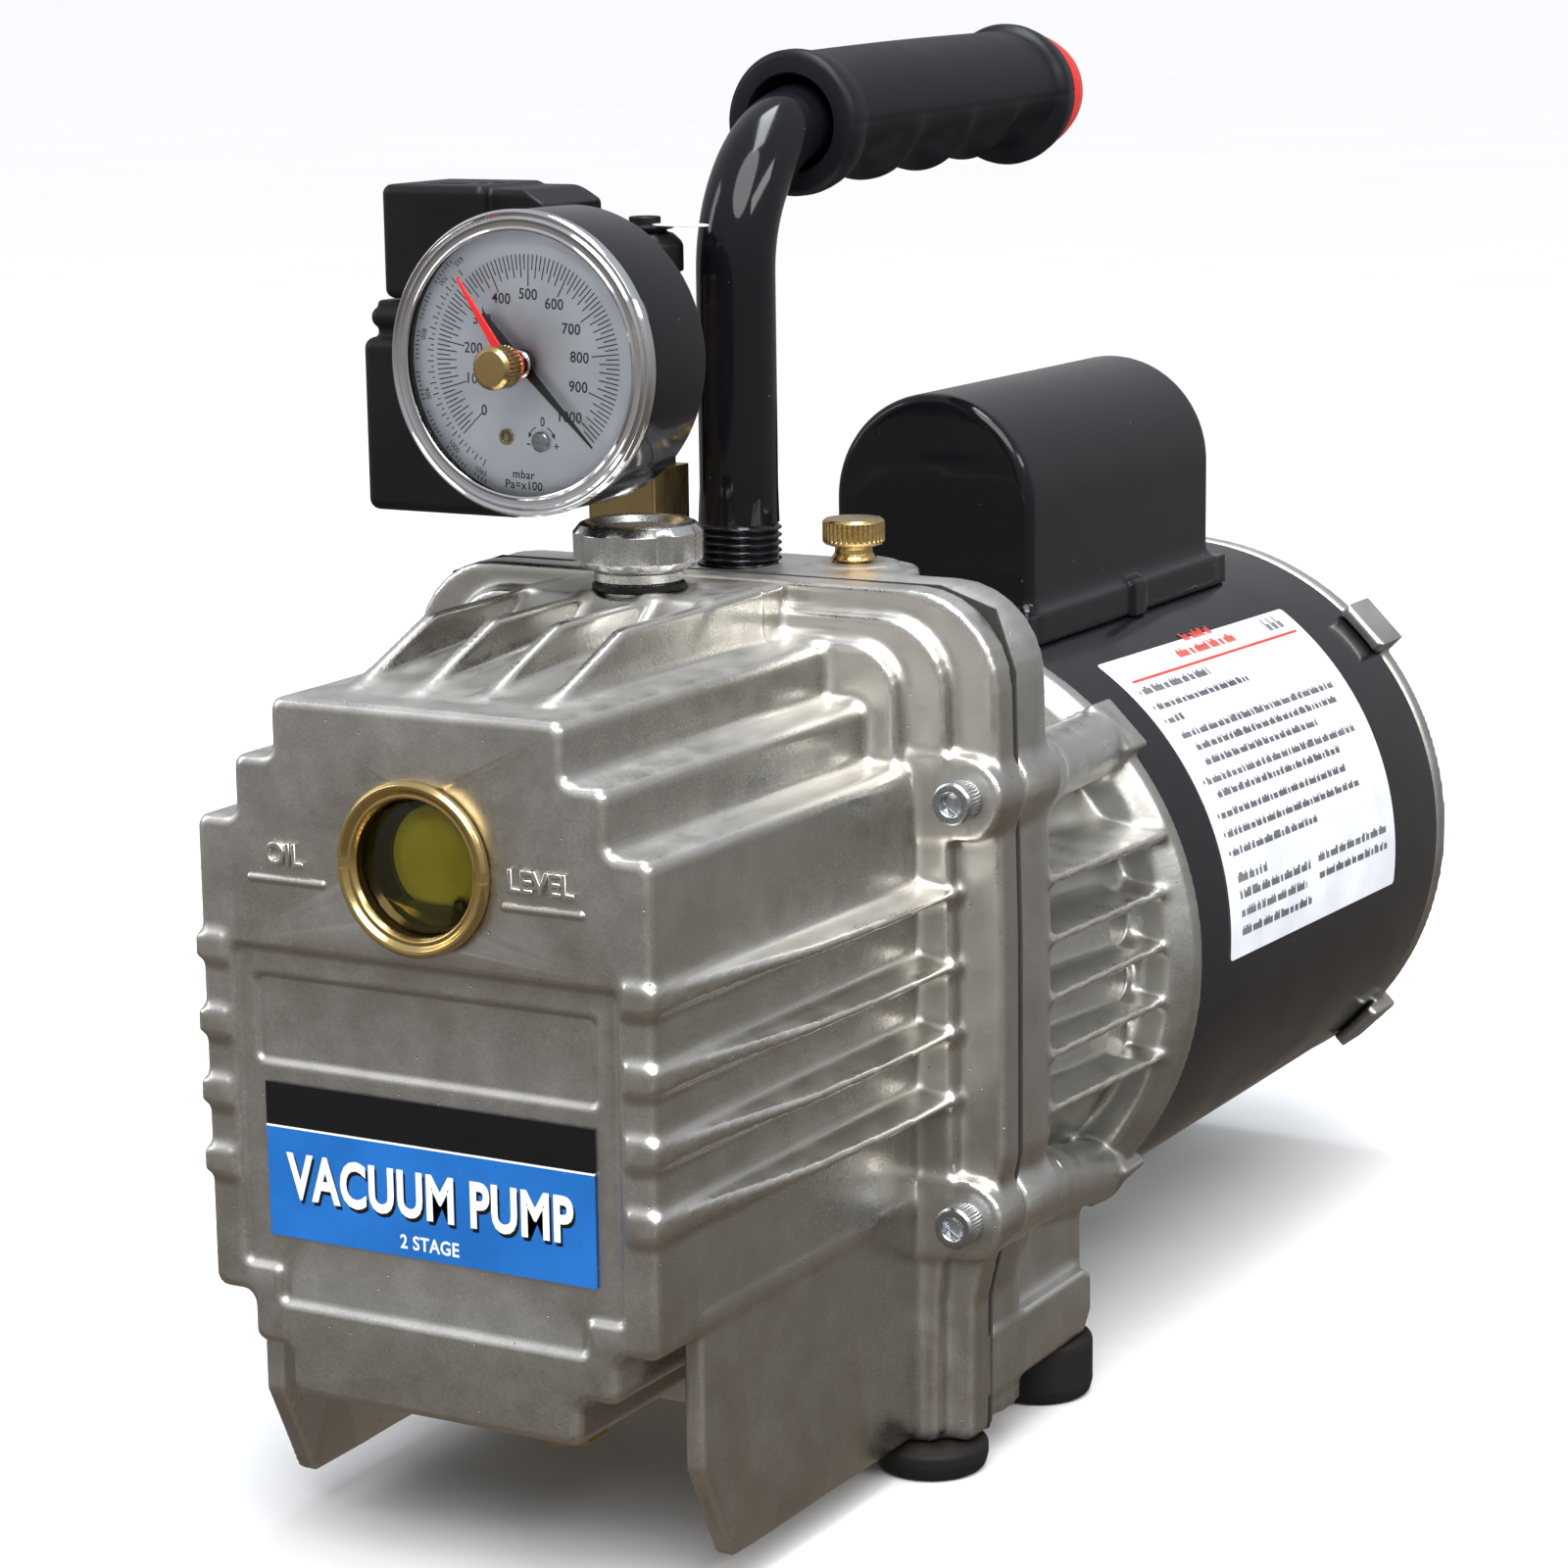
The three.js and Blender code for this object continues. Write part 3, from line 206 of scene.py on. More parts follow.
def slab(name, outline, low, high, axis="z", edge=0.4, segments=3):
    """An outline pushed along an axis, with its edges bevelled."""
    first, second, along = AXES[axis]
    outline = np.asarray(outline, float)
    count = len(outline)
    points = np.zeros((2 * count, 3))
    for k, h in enumerate((low, high)):
        points[k * count:(k + 1) * count, first] = outline[:, 0]
        points[k * count:(k + 1) * count, second] = outline[:, 1]
        points[k * count:(k + 1) * count, along] = h
    ends = [list(range(count)), list(range(2 * count - 1, count - 1, -1))]
    sides = [[i, (i + 1) % count, count + (i + 1) % count, count + i] for i in range(count)]
    mesh = mesh_of(name, points, ends + sides)
    if edge > 0:
        with edited(mesh) as bm:
            sharp = [e for e in bm.edges if e.calc_face_angle(0) > math.radians(40)]
            bmesh.ops.bevel(bm, geom=sharp, offset=edge * MM, segments=segments, profile=0.5, affect="EDGES",
                            clamp_overlap=True)
    return mesh


def rectangle(a0, a1, b0, b1, radius=0):
    corners = [(a0, b0), (a1, b0), (a1, b1), (a0, b1)]
    return soften(corners, radius, closed=True) if radius else np.array(corners, float)


def carved(mesh, *cutters):
    """The mesh with others cut away from it."""
    holder = linked("holder", mesh)
    tools = [linked("tool", cutter) for cutter in cutters]
    for tool in tools:
        change = holder.modifiers.new("cut", "BOOLEAN")
        change.operation, change.object, change.solver = "DIFFERENCE", tool, "EXACT"
    return applied(holder, *tools)


def thinned(mesh, keep):
    """The mesh with only a share of its faces kept."""
    holder = linked("holder", mesh)
    holder.modifiers.new("thin", "DECIMATE").ratio = keep
    return applied(holder)


# ---- cast shapes, blended in a block of signed distances -----------------------------------------


def soft_min(a, b, k):
    if k <= 0:
        return np.minimum(a, b)
    near = np.maximum(k - np.abs(a - b), 0) / k
    return np.minimum(a, b) - near * near * k / 4


def outline_distance(points, u, v):
    """Signed distance to a closed outline, negative inside."""
    u, v = np.broadcast_arrays(u, v)
    best = np.full(u.shape, 1e9, np.float32)
    inside = np.zeros(u.shape, bool)
    ax, ay = points[-1]
    for bx, by in points:
        ex, ey = bx - ax, by - ay
        wx, wy = u - ax, v - ay
        t = np.clip((wx * ex + wy * ey) / max(ex * ex + ey * ey, 1e-12), 0, 1)
        best = np.minimum(best, (wx - t * ex) ** 2 + (wy - t * ey) ** 2)
        if ey:
            inside ^= ((ay > v) != (by > v)) & (u < ex * (v - ay) / ey + ax)
        ax, ay = bx, by
    return np.where(inside, -1, 1) * np.sqrt(best)


def pushed(flat, along, low, high, edge=1.0):
    """A flat distance pushed between two planes, with its edges rounded."""
    side = flat + edge
    cap = np.abs(along - (low + high) / 2) - (high - low) / 2 + edge
    corner = np.hypot(np.maximum(side, 0), np.maximum(cap, 0))
    return np.minimum(np.maximum(side, cap), 0) + corner - edge


def prism(outline, axis, low, high, edge=0.0):
    """The distance to an outline pushed along an axis."""
    first, second, along = AXES[axis]
    return lambda *at: pushed(outline_distance(outline, at[first], at[second]), at[along], low, high, edge)


def bar(centre, r, axis, low, high, edge=0.0):
    """The distance to a round bar along an axis."""
    first, second, along = AXES[axis]
    return lambda *at: pushed(np.hypot(at[first] - centre[0], at[second] - centre[1]) - r, at[along],
                              low, high, edge)


def pipe(centre, r, half, axis, low, high, edge=0.0):
    """The distance to a thick ring about an axis: r is the middle of its wall, and half is half the wall."""
    first, second, along = AXES[axis]
    return lambda *at: pushed(np.abs(np.hypot(at[first] - centre[0], at[second] - centre[1]) - r) - half,
                              at[along], low, high, edge)


def boxed(low, high, edge):
    """The distance to a rounded box."""
    low, high = np.array(low, float), np.array(high, float)
    mid, half = (low + high) / 2, (high - low) / 2 - edge

    def distance(x, y, z):
        q = [np.abs(v - m) - h for v, m, h in zip((x, y, z), mid, half)]
        outside = np.sqrt(sum(np.maximum(v, 0) ** 2 for v in q))
        return outside + np.minimum(np.maximum(np.maximum(q[0], q[1]), q[2]), 0) - edge
    return distance


class Casting:
    """A block of signed distances that shapes are joined to and cut from, with fillets."""

    def __init__(self, low, high, step):
        self.low, self.step = np.array(low, float), step
        counts = [int(math.ceil((b - a) / step)) + 1 for a, b in zip(low, high)]
        self.far = 3 * step
        self.d = np.full(counts, 50, np.float32)

    def part(self, low, high):
        """The slices and the point coordinates of the block between two corners."""
        slices, axes = [], []
        for i in range(3):
            a = max(0, int((low[i] - self.low[i]) / self.step) - 1)
            b = min(self.d.shape[i], int((high[i] - self.low[i]) / self.step) + 3)
            slices.append(slice(a, b))
            shape = [1, 1, 1]
            shape[i] = b - a
            axes.append((self.low[i] + self.step * np.arange(a, b)).astype(np.float32).reshape(shape))
        return tuple(slices), axes

    def join(self, low, high, distance, blend=2.0):
        """Joins a shape within the block between two corners."""
        where, axes = self.part(np.array(low) - 4, np.array(high) + 4)
        self.d[where] = soft_min(self.d[where], distance(*axes), blend)

    def cut(self, low, high, distance, blend=1.0):
        """Cuts a shape away within the block between two corners."""
        where, axes = self.part(np.array(low) - 4, np.array(high) + 4)
        self.d[where] = -soft_min(-self.d[where], distance(*axes), blend)

    def mesh(self, name, keep):
        """The surface as a mesh, with a point attribute that is high on edges and low in corners."""
        grid = openvdb.FloatGrid(self.far)
        grid.copyFromArray(np.clip(self.d, -self.far, self.far))
        points, triangles, quads = grid.convertToPolygons(isovalue=0.0, adaptivity=0.0)
        at = np.clip(np.rint(points).astype(int), 3, np.array(self.d.shape) - 4)
        i, j, k = at.T
        spread = -6 * self.d[i, j, k]
        for axis in range(3):
            for way in (-2, 2):
                beside = [i, j, k]
                beside[axis] = beside[axis] + way
                spread += self.d[tuple(beside)]
        mesh = bpy.data.meshes.new(name)
        faces = [*quads.tolist(), *triangles.tolist()]
        mesh.from_pydata((points * self.step + self.low + [0, FACE, 0]) * MM, [], faces)
        outwards(mesh)
        edge = mesh.attributes.new("edge", "FLOAT", "POINT")
        edge.data.foreach_set("value", (spread / (4 * self.step)).astype(np.float32))
        return thinned(mesh, keep)


# ---- oil case ------------------------------------------------------------------------------------

CASE = {"wide": 56, "mid": 45.8, "top": 35.8, "z_top": 191, "z_mid": 178.2, "z_wide": 164.5}
CASE_FOOT = {"mid": 46, "low": 36.5, "z_wide": 60, "z_mid": 49, "z_low": 38.5}
CASE_BOTTOM = 7
PLATE_Z = 203
# each flange arch: half width, half width at the foot, top, corner radius, depth of its front
FLANGE = [(57, 55, 191.5, 11, 106), (67, 63, 197.3, 16, 110), (78, 70, 203, 22, 114)]
FLANGE_BACK = 122.5
AXIS_Z = 97.1
SCREW_X, SCREW_HIGH, SCREW_LOW, SCREW_PAD, SCREW_HOLE = 70, 157.9, 61.1, 9.4, 3.5
SCREW_PLACES = [("top_right", 1, SCREW_HIGH), ("top_left", -1, SCREW_HIGH), ("bottom_right", 1, SCREW_LOW),
                ("bottom_left", -1, SCREW_LOW)]
SIGHT = middle("sight_glass_bezel")
OIL_CAP = middle("oil_fill_cap")
HANDLE_DEPTH = 135
BALLAST = middle("ballast_knob")
DRAIN = middle("drain_plug")


def mirrored(right):
    return right + [(-p[0], *p[1:]) for p in reversed(right)]


def case_outline(inset, radius):
    """The stepped front of the oil case, or a line inset from it."""
    foot, case = CASE_FOOT, CASE
    right = [(foot["low"], foot["z_low"], 1), (foot["low"], foot["z_mid"], 1),
             (foot["mid"], foot["z_mid"], 1), (foot["mid"], foot["z_wide"], 1),
             (case["wide"], foot["z_wide"], 1), (case["wide"], case["z_wide"], -1),
             (case["mid"], case["z_wide"], -1), (case["mid"], case["z_mid"], -1),
             (case["top"], case["z_mid"], -1), (case["top"], case["z_top"], -1)]
    return soften(mirrored([(x - inset, z + way * inset) for x, z, way in right]), radius, closed=True)


def arch_outline(half, foot, top, radius, inset=0):
    """An arch that stands on the case's bottom: half is its half width, and foot that at the bottom."""
    right = [(foot - inset, CASE_BOTTOM + inset, 3), (foot + 0.3 - inset, 40, 8), (half - inset, 75, 12),
             (half - inset, 125, 20), (half - 2 - inset, top - inset, radius)]
    return soften(mirrored(right), 2, closed=True, steps=7)


def lean(x, y):
    """How far the case's draft moves a side outwards."""
    return 0.018 * y * np.minimum(1, np.abs(x) / 30)


def oil_case_mesh(step):
    c = Casting((-82, -4, 3), (82, 126, 208), step)
    across, _, up = c.part((-82, 0, 3), (82, 0, 208))[1]

    def drafted(inset):
        """The distance to the case's outline, which widens towards the back."""
        table = outline_distance(case_outline(inset, 2.8), across, up)[:, 0, :]

        def distance(x, y, z):
            shifted = np.clip((np.abs(x) - lean(x, y)) * np.sign(x) - c.low[0], 0, None) / c.step
            i = np.clip(np.floor(shifted).astype(int), 0, table.shape[0] - 2)
            t = shifted - i
            k = np.rint((z - c.low[2]) / c.step).astype(int)
            return table[i, k] * (1 - t) + table[i + 1, k] * t
        return distance

    skin, room = drafted(0), drafted(5)
    c.join((-60, -2, 36), (60, 108, 194), lambda x, y, z: pushed(skin(x, y, z), y, 0, 109, 1.9), 0)
    # hump and ribs on top
    hump = soften([(9, 183), (11, 191.2, 4), (70, 195.3, 12), (80, PLATE_Z, 3), (112, PLATE_Z), (112, 183)],
                  0, True, 6)
    c.join((-26, 8, 182), (26, 112, 204), prism(hump, "x", -24.6, 24.6, 1.2), 2)
    rib = soften([(9, 184), (13.5, 191.2, 1), (43, PLATE_Z, 10), (100, PLATE_Z), (100, 184)], 0, True, 6)
    for at in (-24, -8, 8, 24):
        c.join((at - 3, 8, 183), (at + 3, 100, 204), prism(rib, "x", at - 1.5, at + 1.5, 0.9), 3.4)
    # side fins: a broad root that thins out to the edge
    edge = [(56.6, -0.9, 0.6), (59.4, 22, 30), (64.3, 52, 30), (66.6, 84, 30), (67.4, 114)]
    fin = soften([(50, -0.9), *edge, (50, 114)], 0, True, 6)
    for side in (1, -1):
        for at in (135.8, 119.3, 103.9, 88.5):
            def fin_distance(x, y, z):
                across = outline_distance(fin, x * side, y)
                half = 0.55 + 0.16 * np.clip(67.4 - x * side, 0, 14)
                return pushed(across, z - at, -half, half, 0.5)
            low, high = sorted((side * 49, side * 68))
            c.join((low, -2, at - 5), (high, 114, at + 5), fin_distance, 2.6)
        sole = CASE_BOTTOM + 1.5
        skid = soften([(17, 66), (17, 31, 1), (28, sole, 2), (113, sole), (113, 66)], 0, True)
        low, high = sorted((side * 50, side * 60))
        c.join((low, 15, 7), (high, 114, 64), lambda x, y, z: pushed(
            outline_distance(skid, y, z), x * side - lean(x, y), 51.2, 56, 0.7), 0.8)
    # flange arches with their pads for the cap screws
    for n, (half, foot, top, radius, front) in enumerate(FLANGE):
        shape = arch_outline(half, foot, top, radius)
        c.join((-80, front - 2, 5), (80, 124, 205), prism(shape, "y", front, FLANGE_BACK + 0.01, 1.3),
               3.0 if n < 2 else 2.2)
    for _, side, at in SCREW_PLACES:
        def pad(x, y, z):
            flat_pad = np.hypot(x - side * SCREW_X, z - at) - SCREW_PAD
            bridge = np.maximum(np.abs(x - side * 63) - 7, np.abs(z - at) - SCREW_PAD)
            return pushed(np.minimum(flat_pad, bridge), y, FLANGE[1][4] - 0.3, FLANGE_BACK, 0.7)
        c.join((side * 69 - 14, 108, at - 11), (side * 69 + 14, 124, at + 11), pad, 2.2)
    # hollow, face recesses and holes
    c.cut((-56, 6, 40), (56, 126, 188), lambda x, y, z: pushed(room(x, y, z), y, 7, 140, 1), 1)
    c.cut((-17, -4, 140), (17, 10, 175), bar((0, SIGHT[2]), 15.3, "y", -10, 12), 0.6)
    recess = soften([(-38.5, 59), (38.5, 59), (38.5, 66.7), (47.4, 66.7), (47.4, 136.8), (-47.4, 136.8),
                     (-47.4, 66.7), (-38.5, 66.7)], 1.5, True)
    c.cut((-50, -3, 56), (50, 3, 140), prism(recess, "y", -10, 1.5, 0.3), 1.3)
    blank_panel = rectangle(-43, 41.5, 112, 130.5, 1.5)
    c.cut((-46, -3, 110), (46, 4, 133), prism(blank_panel, "y", -10, 2.5, 0.3), 1.2)
    c.cut((-11, 75, 180), (11, 105, 206), bar((0, OIL_CAP[1]), 10.3, "z", 150, 240), 0.5)
    for _, side, at in SCREW_PLACES:
        c.cut((side * SCREW_X - 5, 105, at - 5), (side * SCREW_X + 5, 126, at + 5),
              bar((side * SCREW_X, at), SCREW_HOLE, "y", 90, 140), 0.4)
    c.cut((DRAIN[0] - 8, DRAIN[1] - 8, 34), (DRAIN[0] + 8, DRAIN[1] + 8, 48),
          bar(DRAIN[:2], 6.3, "z", 20, 47), 0.4)
    return c.mesh("oil_case_casting", 0.28)


# ---- motor adapter -------------------------------------------------------------------------------

ADAPTER_FRONT = span("motor_adapter")[0][1]
RIM_BACK, RING_FRONT, RING_BACK = 141, 211, 221
MOTOR_R, BARREL_R = 80, 67
FIN_Z = [(134.5, 130), (120.5, 116), (106.8, 102.4), (93.4, 88.6), (80.5, 74.7)]


def around_axis(x, z):
    """The distance from the motor's axis."""
    return np.hypot(x, z - AXIS_Z)


def lugs(x, y, z, low, high, edge=1.0):
    """The four square lugs on the rim of a motor casting."""
    best = None
    for angle in (45, 135, 225, 315):
        ca, sa = math.cos(math.radians(angle)), math.sin(math.radians(angle))
        out = x * ca + (z - AXIS_Z) * sa
        side = -x * sa + (z - AXIS_Z) * ca
        flat = np.maximum(np.abs(out - MOTOR_R + 2) - 5, np.abs(side) - 7.5)
        d = pushed(flat, y, low, high, edge)
        best = d if best is None else np.minimum(best, d)
    return best


def adapter_mesh(step):
    c = Casting((-84, 120, 10), (84, 228, 208), step)
    arch = arch_outline(*FLANGE[2][:4])

    def rim(x, y, z):
        """The front rim, fullest in the middle of its depth."""
        full = 1.4 * np.exp(-((y - 132.5) / 7) ** 2)
        return pushed(outline_distance(arch, x, z) - full + 1.4, y, ADAPTER_FRONT, RIM_BACK, 1.5)

    def ring(x, y, z):
        """The ring that holds the motor, chamfered towards the front."""
        chamfer = np.clip(RING_FRONT + 4.5 - y, 0, 5)
        return pushed(around_axis(x, z) - MOTOR_R + chamfer, y, RING_FRONT, RING_BACK, 1.1)

    c.join((-80, 122, 6), (80, 142, 205), rim, 0)
    deck = soften([(-42, 120), (42, 120), (40, 156, 12), (-40, 156, 12)], 0, True, 6)
    c.join((-44, 122, 174), (44, 158, 204), prism(deck, "z", 176, PLATE_Z - 0.2, 1.5), 2)
    c.join((8, 130, 198), (42, 156, 206), bar(BALLAST[:2], 10.5, "z", 190, PLATE_Z + 0.9, 0.8), 1.2)
    c.join((-70, 139, 28), (70, 214, 166), bar((0, AXIS_Z), BARREL_R, "y", 138, 214, 1), 4)
    c.join((-82, 209, 15), (82, 223, 180), ring, 2.5)
    c.join((-84, 209, 15), (84, 226, 180),
           lambda x, y, z: lugs(x, y, z, RING_FRONT + 0.5, RING_BACK + 2.6), 1.0)
    for _, side, at in SCREW_PLACES:
        end_x, end_z = side * 54, AXIS_Z + math.copysign(54, at - AXIS_Z)

        def boss(x, y, z):
            t = np.clip((y - 140) / (RING_FRONT - 140), 0, 1)
            r = np.where(y < 148, SCREW_PAD, SCREW_PAD - 1.3 * np.clip((y - 148) / 3, 0, 1))
            flat = np.hypot(x - side * SCREW_X - t * (end_x - side * SCREW_X), z - at - t * (end_z - at)) - r
            return pushed(flat, y, ADAPTER_FRONT, RING_FRONT + 3, 0.8)
        low_z, high_z = sorted((at, end_z))
        c.join((side * 66 - 22, 122, low_z - 12), (side * 66 + 22, 216, high_z + 12), boss, 2.2)
    for side in (1, -1):
        for front, back in FIN_Z:
            def fin(x, y, z):
                t = np.clip((y - 138) / (RING_FRONT + 3 - 138), 0, 1)
                reach = 78.3 - 4.7 * t
                at = front + (back - front) * t
                half = 0.9 + 0.1 * np.clip(reach - x * side, 0, 14)
                return pushed(x * side - reach, z - at, -half, half, 0.5)
            low, high = sorted((side * 50, side * 80))
            c.join((low, 139, min(front, back) - 4), (high, RING_FRONT + 3, max(front, back) + 4),
                   lambda x, y, z: np.maximum(np.maximum(fin(x, y, z), 139 - y), y - RING_FRONT - 3), 2.4)
    base = soften([(120, 15), (174, 15, 2), (178, 20, 2), (178, 29, 2), (174, 31), (120, 31)], 0, True)
    c.join((-70, 122, 13), (70, 180, 33), prism(base, "x", -70, 70, 1.2), 1.5)
    cheek = soften([(120, 26), (179, 26, 2), (179, 50, 3), (160, 66, 6), (120, 70)], 0, True)
    for side in (1, -1):
        low, high = sorted((side * 57, side * 68))
        c.join((low, 122, 24), (high, 181, 70), lambda x, y, z: pushed(
            outline_distance(cheek, y, z), x * side, 59, 66.5, 1.0), 2.5)
    c.join((-62, 137, 24), (62, 178, 52), lambda x, y, z: pushed(
        np.maximum(np.abs(x) - 60, np.abs(z - 38) - 12), y, 136, 176, 1.2), 2.5)
    # a round pocket between each pair of fins, just in front of the ring
    for side in (1, -1):
        heights = [back for _, back in FIN_Z]
        for high_fin, low_fin in zip(heights[:-1], heights[1:]):
            at, r = (high_fin + low_fin) / 2 - 0.4, (high_fin - low_fin) / 2 - 1.6
            c.cut((side * 70 - 10, 196, at - 9), (side * 70 + 10, 214, at + 9), lambda x, y, z: np.maximum(
                np.hypot((y - 203.5) * 0.9, z - at) - r, 64.5 - x * side), 1.4)
    # hollow and holes
    c.cut((-62, 141, 36), (62, 208, 160), bar((0, AXIS_Z), 60, "y", 143, 206, 2), 1)
    c.cut((-16, 120, 80), (16, 146, 114), bar((0, AXIS_Z), 13, "y", 100, 150), 0.6)
    c.cut((-18, 203, 78), (18, 226, 116), bar((0, AXIS_Z), 16.5, "y", 200, 240), 0.6)
    c.cut((-74, 215, 22), (74, 226, 172), pipe((0, AXIS_Z), 51, 21, "y", 217, 240, 0.5), 0.6)
    c.cut((-80, 219, 16), (80, 227, 178), pipe((0, AXIS_Z), 74.7, 4.7, "y", RING_BACK, RING_BACK + 5), 0.3)
    for side in (1, -1):
        for (high_fin, _), (low_fin, _) in zip(FIN_Z[:-1], FIN_Z[1:]):
            at, half = (high_fin + low_fin) / 2, (high_fin - low_fin) / 2 - 2.6
            c.cut((side * 68 - 20, 140, at - 8), (side * 68 + 20, 158, at + 8), lambda x, y, z: pushed(
                np.maximum(np.abs(z - at) - half, np.abs(y - 148.5) - 6.5), x * side, 50, 95, 0.5), 0.9)
    for _, side, at in SCREW_PLACES:
        c.cut((side * SCREW_X - 5, 120, at - 5), (side * SCREW_X + 5, 155, at + 5),
              bar((side * SCREW_X, at), SCREW_HOLE, "y", 110, 154), 0.4)
    c.cut((-12, 122, 186), (12, 148, 206), bar((0, HANDLE_DEPTH), 9.4, "z", 188, 240), 0.5)
    c.cut((BALLAST[0] - 6, 136, 188), (BALLAST[0] + 6, 150, 206), bar(BALLAST[:2], 4.3, "z", 190, 240), 0.4)
    return c.mesh("motor_adapter_casting", 0.25)


# ---- finishes ------------------------------------------------------------------------------------


class Finish:
    """A procedural material on the Principled shader. Its patterns are sized in millimetres."""

    def __init__(self, name, colour, roughness, metallic=0.0, **constants):
        self.material = bpy.data.materials.new(name)
        self.material.use_nodes = True
        self.tree = self.material.node_tree
        self.shader = self.tree.nodes["Principled BSDF"]
        self.place = self.tree.nodes.new("ShaderNodeTexCoord").outputs["Object"]
        self.set(Base_Color=(*colour, 1), Roughness=roughness, Metallic=metallic, **constants)

    def set(self, **inputs):
        for key, value in inputs.items():
            self.shader.inputs[key.replace("_", " ")].default_value = value
        return self

    def put(self, node, key, value):
        if isinstance(value, bpy.types.NodeSocket):
            self.tree.links.new(value, node.inputs[key])
        else:
            node.inputs[key].default_value = value

    def noise(self, size, detail=3, stretch=(1, 1, 1)):
        """Noise whose grain is about size millimetres."""
        n = self.tree.nodes.new("ShaderNodeTexNoise")
        at = self.place
        if stretch != (1, 1, 1):
            m = self.tree.nodes.new("ShaderNodeMapping")
            m.inputs["Scale"].default_value = stretch
            self.put(m, "Vector", at)
            at = m.outputs[0]
        self.put(n, "Vector", at)
        self.put(n, "Scale", 1 / (size * MM))
        self.put(n, "Detail", detail)
        return n.outputs["Fac"]

    def spots(self, size, reach=0.3):
        """Small round marks, size millimetres apart: 1 in a mark and 0 outside."""
        n = self.tree.nodes.new("ShaderNodeTexVoronoi")
        self.put(n, "Vector", self.place)
        self.put(n, "Scale", 1 / (size * MM))
        return self.span(n.outputs["Distance"], reach, reach * 0.4, 0, 1)

    def attribute(self, name):
        n = self.tree.nodes.new("ShaderNodeAttribute")
        n.attribute_name = name
        return n.outputs["Fac"]

    def axis(self, which, source=None):
        n = self.tree.nodes.new("ShaderNodeSeparateXYZ")
        self.put(n, 0, source or self.place)
        return n.outputs["XYZ".index(which)]

    def normal(self):
        return self.tree.nodes.new("ShaderNodeTexCoord").outputs["Normal"]

    def span(self, value, from_low, from_high, to_low, to_high):
        n = self.tree.nodes.new("ShaderNodeMapRange")
        for key, v in zip(("Value", "From Min", "From Max", "To Min", "To Max"),
                          (value, from_low, from_high, to_low, to_high)):
            self.put(n, key, v)
        return n.outputs[0]

    def math(self, kind, a, b=0.0):
        n = self.tree.nodes.new("ShaderNodeMath")
        n.operation = kind
        self.put(n, 0, a)
        self.put(n, 1, b)
        return n.outputs[0]

    def mix(self, factor, a, b):
        n = self.tree.nodes.new("ShaderNodeMix")
        n.data_type = "RGBA"
        for socket, value in zip((n.inputs[0], n.inputs[6], n.inputs[7]), (factor, a, b)):
            if isinstance(value, bpy.types.NodeSocket):
                self.tree.links.new(value, socket)
            else:
                socket.default_value = (*value, 1) if isinstance(value, tuple) and len(value) == 3 else value
        return n.outputs[2]

    def colour(self, socket):
        self.tree.links.new(socket, self.shader.inputs["Base Color"])
        return self

    def rough(self, socket):
        self.tree.links.new(socket, self.shader.inputs["Roughness"])
        return self

    def bump(self, *layers):
        """Each layer is a height socket and its full height in millimetres."""
        normal = None
        for height, size in layers:
            n = self.tree.nodes.new("ShaderNodeBump")
            self.put(n, "Height", height)
            n.inputs["Distance"].default_value = size * MM
            if normal:
                self.tree.links.new(normal, n.inputs["Normal"])
            normal = n.outputs[0]
        self.tree.links.new(normal, self.shader.inputs["Normal"])
        return self


def shade(colour, factor):
    return tuple(min(1.0, c * factor) for c in colour)


def cast_metal(name, colour, face_rough, side_rough, grain=0.02):
    """Die-cast aluminium: fine grain, small pits, edges lightened partly by wear and partly as a painted
    highlight, and corners darkened as painted shade.
    """
    f = Finish(name, colour, face_rough, 1.0)
    edge = f.attribute("edge")
    wear_and_highlight, painted_corner_shade = f.span(edge, 0.12, 0.6, 0, 1), f.span(edge, -0.1, -0.7, 0, 1)
    cloud, pits = f.noise(22, 4), f.spots(4.5, 0.055)
    tone = f.mix(cloud, shade(colour, 0.82), shade(colour, 1.1))
    # Convex edges are lighter: partly real wear, partly a painted highlight.
    tone = f.mix(f.math("MULTIPLY", wear_and_highlight, 0.7), tone, shade(colour, 1.45))
    # Concave corners are darker: painted shade.
    tone = f.mix(f.math("MULTIPLY", painted_corner_shade, 0.35), tone, shade(colour, 0.7))
    f.colour(f.mix(pits, tone, shade(colour, 0.3)))
    side = f.span(f.math("ABSOLUTE", f.axis("X", f.normal())), 0.6, 0.95, face_rough, side_rough)
    side = f.math("ADD", side, f.span(f.noise(9, 3), 0.3, 0.7, -0.06, 0.07))
    side = f.math("SUBTRACT", side, f.math("MULTIPLY", wear_and_highlight, 0.12))
    f.rough(f.math("ADD", side, f.span(f.noise(0.5, 2), 0.3, 0.7, -0.05, 0.05)))
    f.bump((f.noise(0.7, 3), grain), (f.noise(4, 2), grain * 2.2), (pits, -0.12))
    return f


def metal(name, colour, roughness, scratch=0.004, size=0.5, stretch=(1, 1, 1)):
    f = Finish(name, colour, roughness, 1.0)
    cloud, fine = f.noise(6, 3), f.noise(size, 3, stretch)
    f.colour(f.mix(cloud, shade(colour, 0.86), shade(colour, 1.1)))
    f.rough(f.span(fine, 0.3, 0.7, roughness * 0.75, roughness * 1.3))
    f.bump((fine, scratch))
    return f


def moulded(name, colour, roughness, grain=0.01, size=0.35, **constants):
    f = Finish(name, colour, roughness, 0.0, **constants)
    fine, cloud = f.noise(size, 3), f.noise(14, 3)
    f.colour(f.mix(cloud, shade(colour, 0.75), shade(colour, 1.3)))
    f.rough(f.span(cloud, 0.3, 0.7, roughness * 0.88, roughness * 1.14))
    f.bump((fine, grain))
    return f


